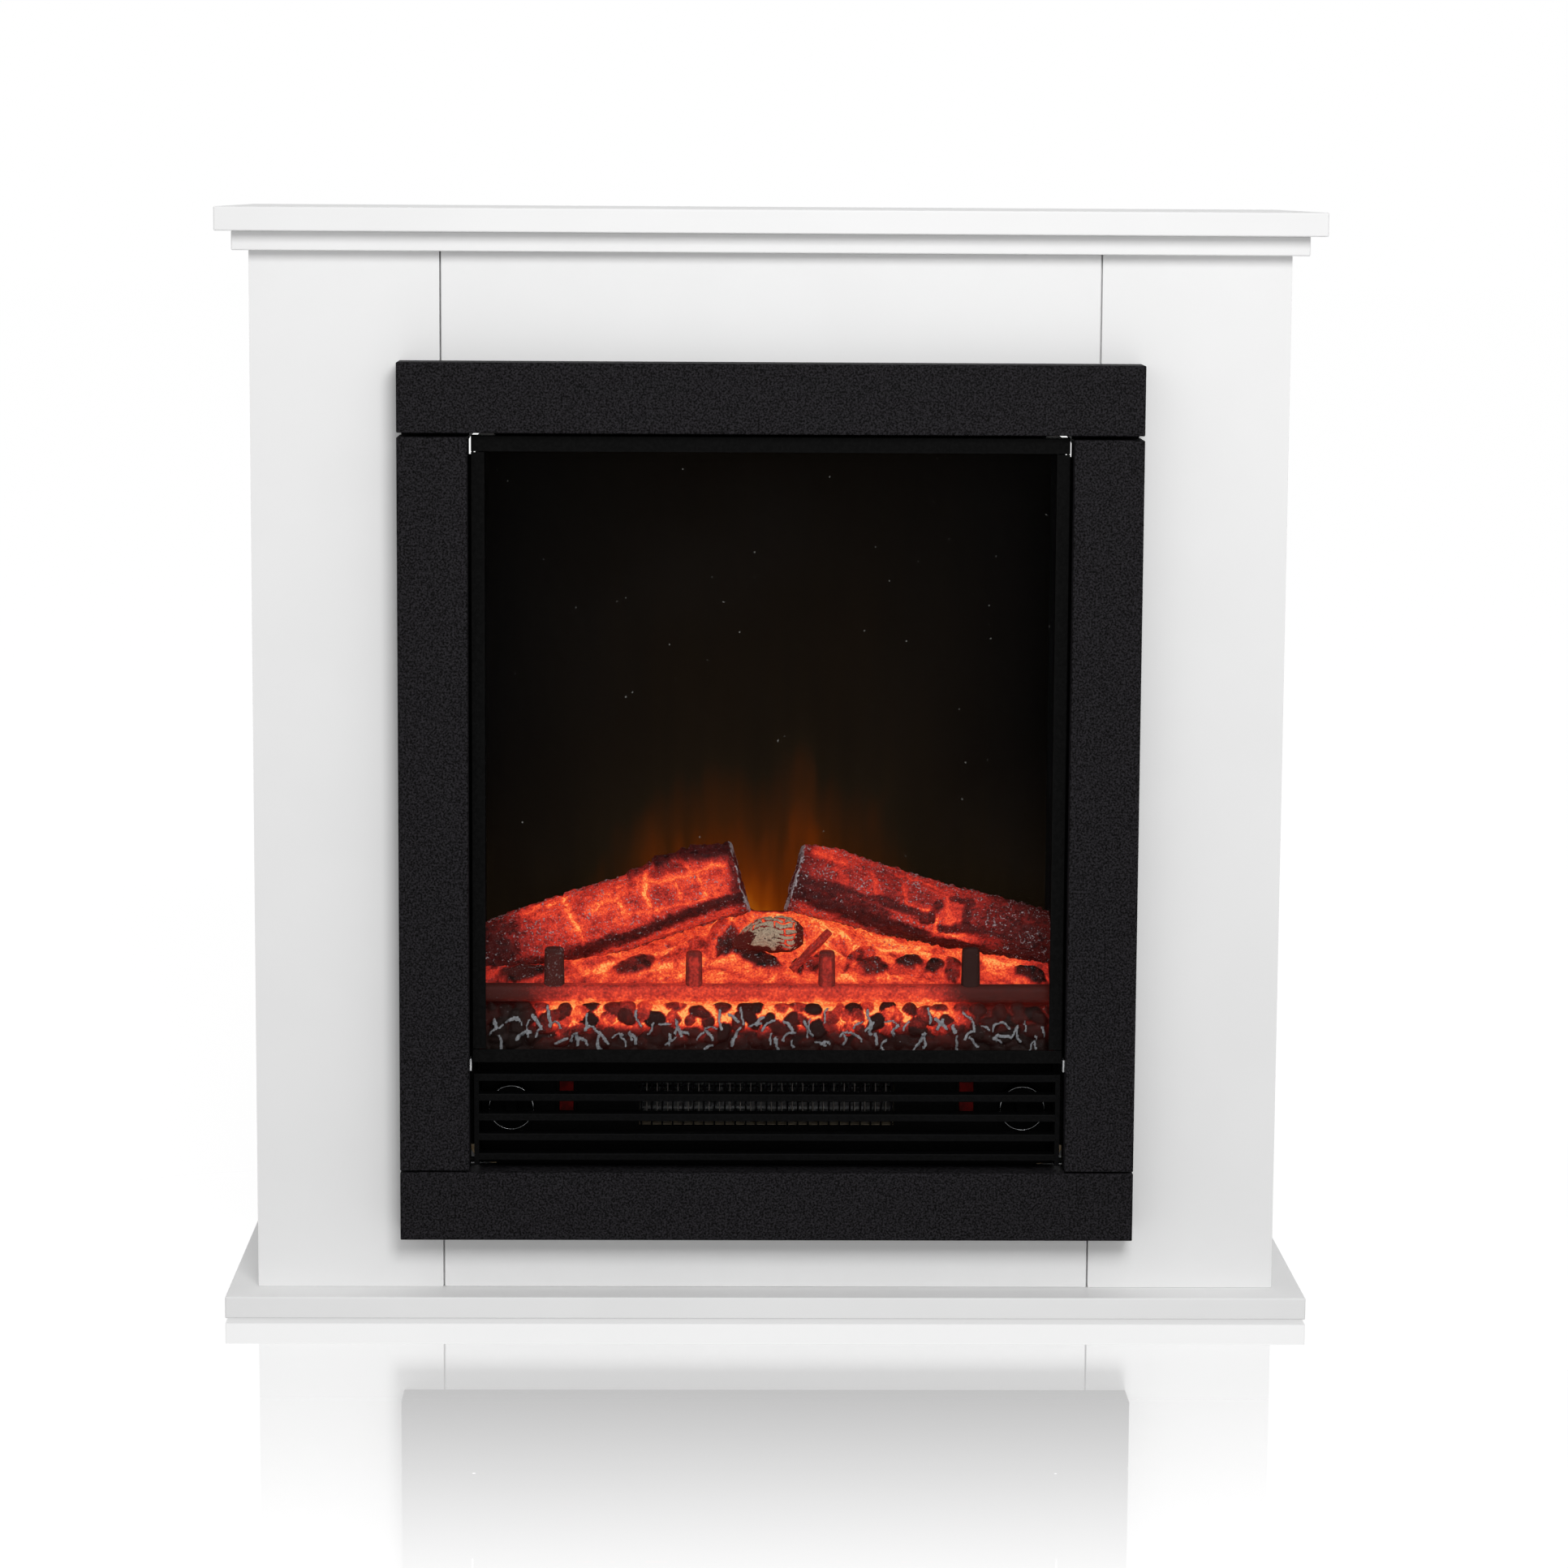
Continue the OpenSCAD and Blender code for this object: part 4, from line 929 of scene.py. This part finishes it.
def top_embers(x, seen, wx, local, wander, fine, middle):
    """Top of the bed: a flow of embers that rises to the logs, marked out by x and seen height.

    Gives the lift, the painted glow and the darkness that takes painted glow away.
    """
    b = seen + 1.1 * rough(local + 50, 8, 2)
    side = np.where(x > 5, -1.0, 1.0)
    along = x * math.cos(FLOW_LEAN) + side * b * math.sin(FLOW_LEAN)
    across = side * b * math.cos(FLOW_LEAN) - x * math.sin(FLOW_LEAN)
    flow = rough(np.stack([along / 3.2, across, np.full(x.shape, 4.0)], axis=-1), 5.5, 3, 6.0)
    lumps = np.zeros(x.shape)
    dark = np.zeros(x.shape)
    for cx, cb, half_l, half_h, lift, lean, shade in BED_LUMPS:
        dx, db = wx - cx, b - cb
        u = (dx * math.cos(lean) + db * math.sin(lean)) / half_l
        v = (db * math.cos(lean) - dx * math.sin(lean)) / half_h
        inside = (1 - np.clip(u ** 2 + v ** 2, 0, 1)) ** 0.5
        lumps = np.maximum(lumps, lift * inside)
        dark = np.maximum(dark, shade * rise(inside + 0.18 * middle, 0.2, 0.75))
    glow = np.zeros(x.shape)
    for cx, cb, half_l, half_h, more in BED_GLOWS:
        glow += more * np.exp(-((wx - cx) / half_l) ** 2 - ((b - cb) / half_h) ** 2)
    streaks = np.zeros(x.shape)
    for width, more, line in BED_STREAKS:
        streaks += more * np.exp(-(near_line(wx, b, line) / (1.6 * width)) ** 2)
    reach = (1 - 0.3 * rise(-x, 130, 170)) * (1 - 0.25 * rise(x, 175, 192))
    # Painted glow of the embers' flow, brighter in the listed glows and streaks, taken away where dark
    heat = (0.58 + 0.2 * flow + glow + streaks + 0.06 * wander + 0.12 * rise(seen, 236, 246)) * reach
    heat *= 1 - dark
    heat -= 0.16 * rise(middle, 0.1, 0.6) + 0.06 * rise(fine, 0.2, 0.6)
    return lumps + 2.2 * flow + 0.8 * middle + 4 * np.clip(streaks, -0.2, 0.2), heat, dark


def make_ember_bed():
    """Vacuum-formed bed: a thin sheet over the whole outline, open below."""
    low, high = in_mm("ember_bed")
    section = bed_section(low, high)
    run = np.concatenate([[0], np.cumsum(np.linalg.norm(np.diff(section, axis=0), axis=1))])
    slope = np.gradient(section, axis=0)
    normal = np.stack([-slope[:, 1], slope[:, 0]], axis=1)
    normal /= np.linalg.norm(normal, axis=1)[:, None]
    xs = np.linspace(low[0] + 0.2, high[0] - 0.2, int((high[0] - low[0]) / BED_STEP))
    x, s = np.meshgrid(xs, run)
    y, z = (np.broadcast_to(section[:, i:i + 1], x.shape) for i in (0, 1))
    base = np.stack([x, y, z], axis=-1)
    rng = np.random.default_rng(12)
    local = np.stack([x, s, np.full(x.shape, 2.0)], axis=-1)
    # Places with noise on them, so that nothing on the bed is straight or round
    wander = rough(local, 9, 2)
    wx = x + 2.2 * wander
    ws = s + 1.8 * rough(local + 50, 8, 2)
    fine = rough(local, 2.1, 2, 15.0)
    middle = rough(local, 4.5, 3, 8.0)

    front = 1 - rise(s, 36, 41)
    front_lift, front_painted_glow, strip, lit_x = front_coals(x, s, wx, ws, local, middle, rng)
    seen = z + VIEW_SLOPE * (y + 88)
    top = rise(seen, TOP_LOW, TOP_HIGH)
    top_lift, top_painted_glow, dark = top_embers(x, seen, wx, local, wander, fine, middle)

    # The bed's back rises between the ends of the logs
    hollow = rise(np.abs(x - 2), 9, 20) * (1 - rise(np.abs(x), 24, 40))
    saddle = 10.5 * (1 - rise(np.abs(x - 2), 34, 80)) + 6 * hollow
    saddle = saddle * rise(y, -72, -50)
    back = rise(y, high[1] - 6, high[1] - 2)
    lift = front * front_lift + top * top_lift * (1 - back)
    ends = rise(np.abs(x), high[0] - 5, high[0] - 1)
    lift = (lift + 0.2) * (1 - ends)
    points = base.copy()
    points[..., 1:] += lift[..., None] * normal[:, None, :]
    points[..., 2] += saddle * (1 - rise(run, run[-1] - 75, run[-1] - 60))[:, None]
    points[..., 1] = np.maximum(points[..., 1], low[1] - 0.6)
    ledge = (1 - front) * (1 - top)
    # Painted glow of the bed: the front coals, the top embers and the ledge
    heat = front * front_painted_glow + top * top_painted_glow * (1 - back) + ledge * 0.84 * lit_x
    clusters = 0.08 * rough(local, 9, 2, 33.0)
    top_ash = 0.26 + clusters + 0.1 * dark + 0.06 * rise(seen, 243, 255)
    front_ash = np.maximum(0.95 * strip, 0.24 + clusters)
    ash = front * front_ash + top * top_ash + ledge * 0.2

    # Both ends turn down to the deck
    def with_ends(values, turn_down=None):
        first, last = values[:, :1].copy(), values[:, -1:].copy()
        if turn_down is not None:
            first[..., 2] = last[..., 2] = turn_down
        return np.concatenate([first, values, last], axis=1)

    points = with_ends(points, low[2] + 0.3)
    fields = {"ember_heat": np.clip(with_ends(heat), 0, 1), "ash_paint": np.clip(with_ends(ash), 0, 1)}
    bed = grid_piece("ember_bed_moulding", points, "ember_resin", fields)
    wall = bed.modifiers.new("wall", "SOLIDIFY")
    wall.thickness = 1.6 * MM
    wall.offset = -1.0
    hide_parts("ember_bed")
    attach(bed, "surround")


def make_stick():
    """Thin glowing stick that leans on the bed in front of the right log."""
    start, end = np.array([16.5, -92.0, 236.5]), np.array([43.0, -83.0, 262.0])
    length = np.linalg.norm(end - start)
    along, share, around = log_grid(length, 3.0, 0.7, (0.1, 0.6, 0.9))
    axis = (end - start) / length
    sideways = np.cross(axis, (0, 1, 0))
    sideways /= np.linalg.norm(sideways)
    front = np.cross(sideways, axis)
    local = np.stack([along, around * 3.0, np.full(along.shape, 9.0)], axis=-1)
    grain = rough(local * (1 / 5, 1, 1), 1.6, 2)
    radius = (2.9 + 0.4 * grain + 0.5 * rough(local, 10)) * share
    points = (start + along[..., None] * axis + (radius * np.cos(around))[..., None] * front
              + (radius * np.sin(around))[..., None] * sideways)
    # Painted glow, dimmer on the stick's back
    heat = np.clip(0.75 + 0.08 * grain - 0.35 * rise(np.abs(around), 0.9, 1.7), 0, 1)
    fields = {"ember_heat": heat, "ash_paint": np.full(heat.shape, 0.2)}
    stick = grid_piece("ember_bed_stick", points, "ember_resin", fields, wrap=True)
    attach(stick, "surround")


# ---- The grate ----

def rounded_section(around, wide, tall, power):
    """Half sizes of a section between an ellipse and a box at each angle."""
    c, s = np.cos(around), np.sin(around)
    reach = (np.abs(c / wide) ** power + np.abs(s / tall) ** power) ** (-1 / power)
    return reach * c, reach * s


GRATE_POSTS = [
    # x, half width, top below the casting's highest point, darkness (share of the painted glow taken away),
    # flecks
    (-146, 7.2, 0.5, 0.8, 0.34),
    (-50.4, 6.0, 3.0, 0.25, 0.1),
    (40.6, 6.0, 2.5, 0.3, 0.15),
    (139.2, 6.6, 0.0, 1.0, 0.15),
]


def make_grate():
    """Moulded grate: a dented bar with four posts on it."""
    low, high = in_mm("grate")
    bar_y, bar_z = low[1] + 6, low[2] + 6.8
    around = np.linspace(-math.pi, math.pi, 44, endpoint=False)
    parts = []
    x = np.concatenate([[low[0]] * 2, np.arange(low[0] + 0.6, high[0] - 0.6, 1.8), [high[0]] * 2])
    share = np.concatenate([[0.3, 0.85], np.ones(len(x) - 4), [0.85, 0.3]])
    xx, angle = np.meshgrid(x, around, indexing="ij")
    local = np.stack([xx, angle * 6, np.zeros(xx.shape)], axis=-1)
    dents = rough(local * (1 / 4, 1, 1), 7, 2)
    spots = rough(local, 2.4, 2, 3.0)
    across, up = rounded_section(angle, wide=5.8, tall=6.2, power=2.6)
    scale = share[:, None] * (1 + 0.04 * dents)
    points = np.stack([xx, bar_y - across * scale, bar_z + up * scale], axis=-1)
    lit = 0.57 * (1 - 0.85 * rise(-xx, 120, 185)) * (1 - 0.8 * rise(xx, 104, 145))
    arcs = rise(-up, 1.0, 5.5) * rise(rough(local * (1, 0, 0), 13, 2, 5.0), -0.25, 0.35)
    # Painted glow of the bar: more along arcs on its underside, less on its top
    heat = lit * (1 + 0.1 * dents + 0.1 * spots - 0.25 * rise(up, 2.5, 5.5) + 0.55 * arcs)
    fields = {"ember_heat": np.clip(heat, 0, 1), "ash_paint": 0.2 + 0.06 * rise(np.abs(xx), 130, 170)}
    parts.append(grid_piece("grate_bar", points, "grate_resin", fields, wrap=True))
    for post_x, half, drop, dark, flecks in GRATE_POSTS:
        top = high[2] - drop
        z = np.concatenate([[bar_z] * 2, np.arange(bar_z + 0.5, top - 2.2, 0.9)])
        crown = [(top - 1.4, 0.93), (top - 0.7, 0.82), (top - 0.3, 0.6), (top, 0.15)]
        zz = np.concatenate([z, [level for level, _ in crown]])
        share = np.concatenate([[0.2, 0.9], np.ones(len(z) - 2), [s for _, s in crown]])
        zz, angle = np.meshgrid(zz, around, indexing="ij")
        taper = 1 - 0.1 * (zz - bar_z) / (top - bar_z)
        wide, deep = rounded_section(angle, half, tall=4.6, power=3.4)
        scale = share[:, None] * taper
        points = np.stack([post_x + wide * scale, bar_y - deep * scale, zz], axis=-1)
        mottle = rough(points, 4.5, 3)
        panel = rise(deep, 3.4, 4.4) * (1 - rise(np.abs(wide), half - 3.2, half - 1.8))
        panel *= 1 - rise(zz, top - 5, top - 3)
        # Painted glow of the post, with a painted highlight on its front panel
        heat = (0.34 + 0.2 * panel + 0.08 * mottle) * (1 - dark)
        ash = np.full(heat.shape, flecks) + 0.1 * mottle
        fields = {"ember_heat": np.clip(heat, 0, 1), "ash_paint": ash}
        parts.append(grid_piece("grate_post", points, "grate_resin", fields, wrap=True))
    grate = join_pieces("grate_casting", parts)
    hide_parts("grate")
    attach(grate, "surround")


# ---- Knob rings ----

def make_knob_ring(node, body, name):
    """Chrome ring pressed round the front of a knob."""
    low, high = in_mm(node)
    centre_x, centre_z = (low[0] + high[0]) / 2, (low[2] + high[2]) / 2
    outer = (high[0] - low[0]) / 2
    profile = [(outer - 0.9, 0.4), (outer - 0.8, -0.2), (outer - 0.5, -0.4), (outer - 0.1, -0.2),
               (outer + 0.05, 0.4), (outer + 0.05, 2.4), (outer - 0.3, 2.6), (outer - 0.8, 1.2)]
    around = np.linspace(0, 2 * math.pi, 97)
    rows = []
    for angle in around:
        rows.append([(centre_x + r * math.cos(angle), low[1] + d, centre_z + r * math.sin(angle))
                     for r, d in profile + profile[:1]])
    ring = grid_piece(name, np.array(rows), "chrome")
    mesh = bmesh.new()
    mesh.from_mesh(ring.data)
    bmesh.ops.remove_doubles(mesh, verts=mesh.verts, dist=1e-6)
    bmesh.ops.recalc_face_normals(mesh, faces=mesh.faces)
    mesh.to_mesh(ring.data)
    mesh.free()
    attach(ring, body)


# ---- Stage: metres ----

FLOOR_HALF = 30.0
# Share of the light that the floor mirrors beside the object, and the distance at which that has faded away
FLOOR_SHINE = 0.55
FLOOR_FADE = 0.78
# Half the width and half the depth of the object on the floor
FOOT_HALF_X = 0.37
FOOT_HALF_Y = 0.135


def floor_finish():
    """White floor that mirrors the object close to it."""
    f = Finish("pale_floor")
    x = f.node("SeparateXYZ", None, {0: f.node("TexCoord", output="Object")}, output="X")
    y = f.node("SeparateXYZ", None, {0: f.node("TexCoord", output="Object")}, output="Y")
    outside_x = (abs(x) - FOOT_HALF_X).math("MAXIMUM", 0.0)
    outside_y = (abs(y) - FOOT_HALF_Y).math("MAXIMUM", 0.0)
    away = (outside_x * outside_x + outside_y * outside_y) ** 0.5
    shine = FLOOR_SHINE * away.rise(FLOOR_FADE, 0.02)
    f.set(Base_Color=rgba((0.3, 0.3, 0.3)), Roughness=0.9, Specular_IOR_Level=0.0,
          Emission_Color=rgba((1, 1, 1)), Emission_Strength=0.86)
    mirror = f.node("BsdfGlossy", None, {"Color": rgba((1, 1, 1)), "Roughness": 0.0})
    body = Value(f, f.shader.outputs[0])
    blend = f.node("MixShader", None, {0: shine, 1: body, 2: mirror})
    f.feed(f.tree.nodes["Material Output"].inputs[0], blend)
    return f.owner


def make_floor():
    mesh = bmesh.new()
    bmesh.ops.create_grid(mesh, x_segments=8, y_segments=8, size=FLOOR_HALF)
    data = bpy.data.meshes.new("floor")
    mesh.to_mesh(data)
    mesh.free()
    floor = bpy.data.objects.new("floor", data)
    bpy.context.scene.collection.objects.link(floor)
    data.materials.append(floor_finish())
    floor.visible_diffuse = False


def area_light(name, place, target, size, power, spread=180.0):
    """A soft box at place that faces target; power in watts, spread in degrees."""
    data = bpy.data.lights.new(name, "AREA")
    data.shape = "RECTANGLE"
    data.size, data.size_y = size
    data.energy = power
    data.spread = math.radians(spread)
    light = bpy.data.objects.new(name, data)
    bpy.context.scene.collection.objects.link(light)
    light.location = place
    light.rotation_euler = (Vector(target) - Vector(place)).to_track_quat("-Z", "Y").to_euler()


def make_lights():
    """White surroundings that are seen at full strength and light the object softly, and two soft boxes."""
    world = bpy.data.worlds.new("studio")
    bpy.context.scene.world = world
    f = Finish("studio", world)
    path = f.node("LightPath", output="Is Diffuse Ray")
    f.feed(f.tree.nodes["Background"].inputs["Color"], rgba((1, 1, 1)))
    f.feed(f.tree.nodes["Background"].inputs["Strength"], 1 - 0.54 * path)
    area_light("key_box", (0.36, -2.5, 1.6), (0.0, -0.1, 0.7), (0.9, 0.9), 13.4, 110)
    area_light("fill_box", (-1.5, -2.2, 1.5), (0.0, -0.1, 0.5), (1.2, 1.2), 2.0)


make_camera()
coat_cad_nodes()
soften_edges()
make_logs()
make_stub_log()
make_ember_bed()
make_stick()
make_grate()
make_knob_ring("heat_knob", "heat_knob_body", "heat_knob_ring")
make_knob_ring("flame_knob", "flame_knob_body", "flame_knob_ring")
make_floor()
make_lights()
bpy.context.scene.view_settings.view_transform = "Standard"
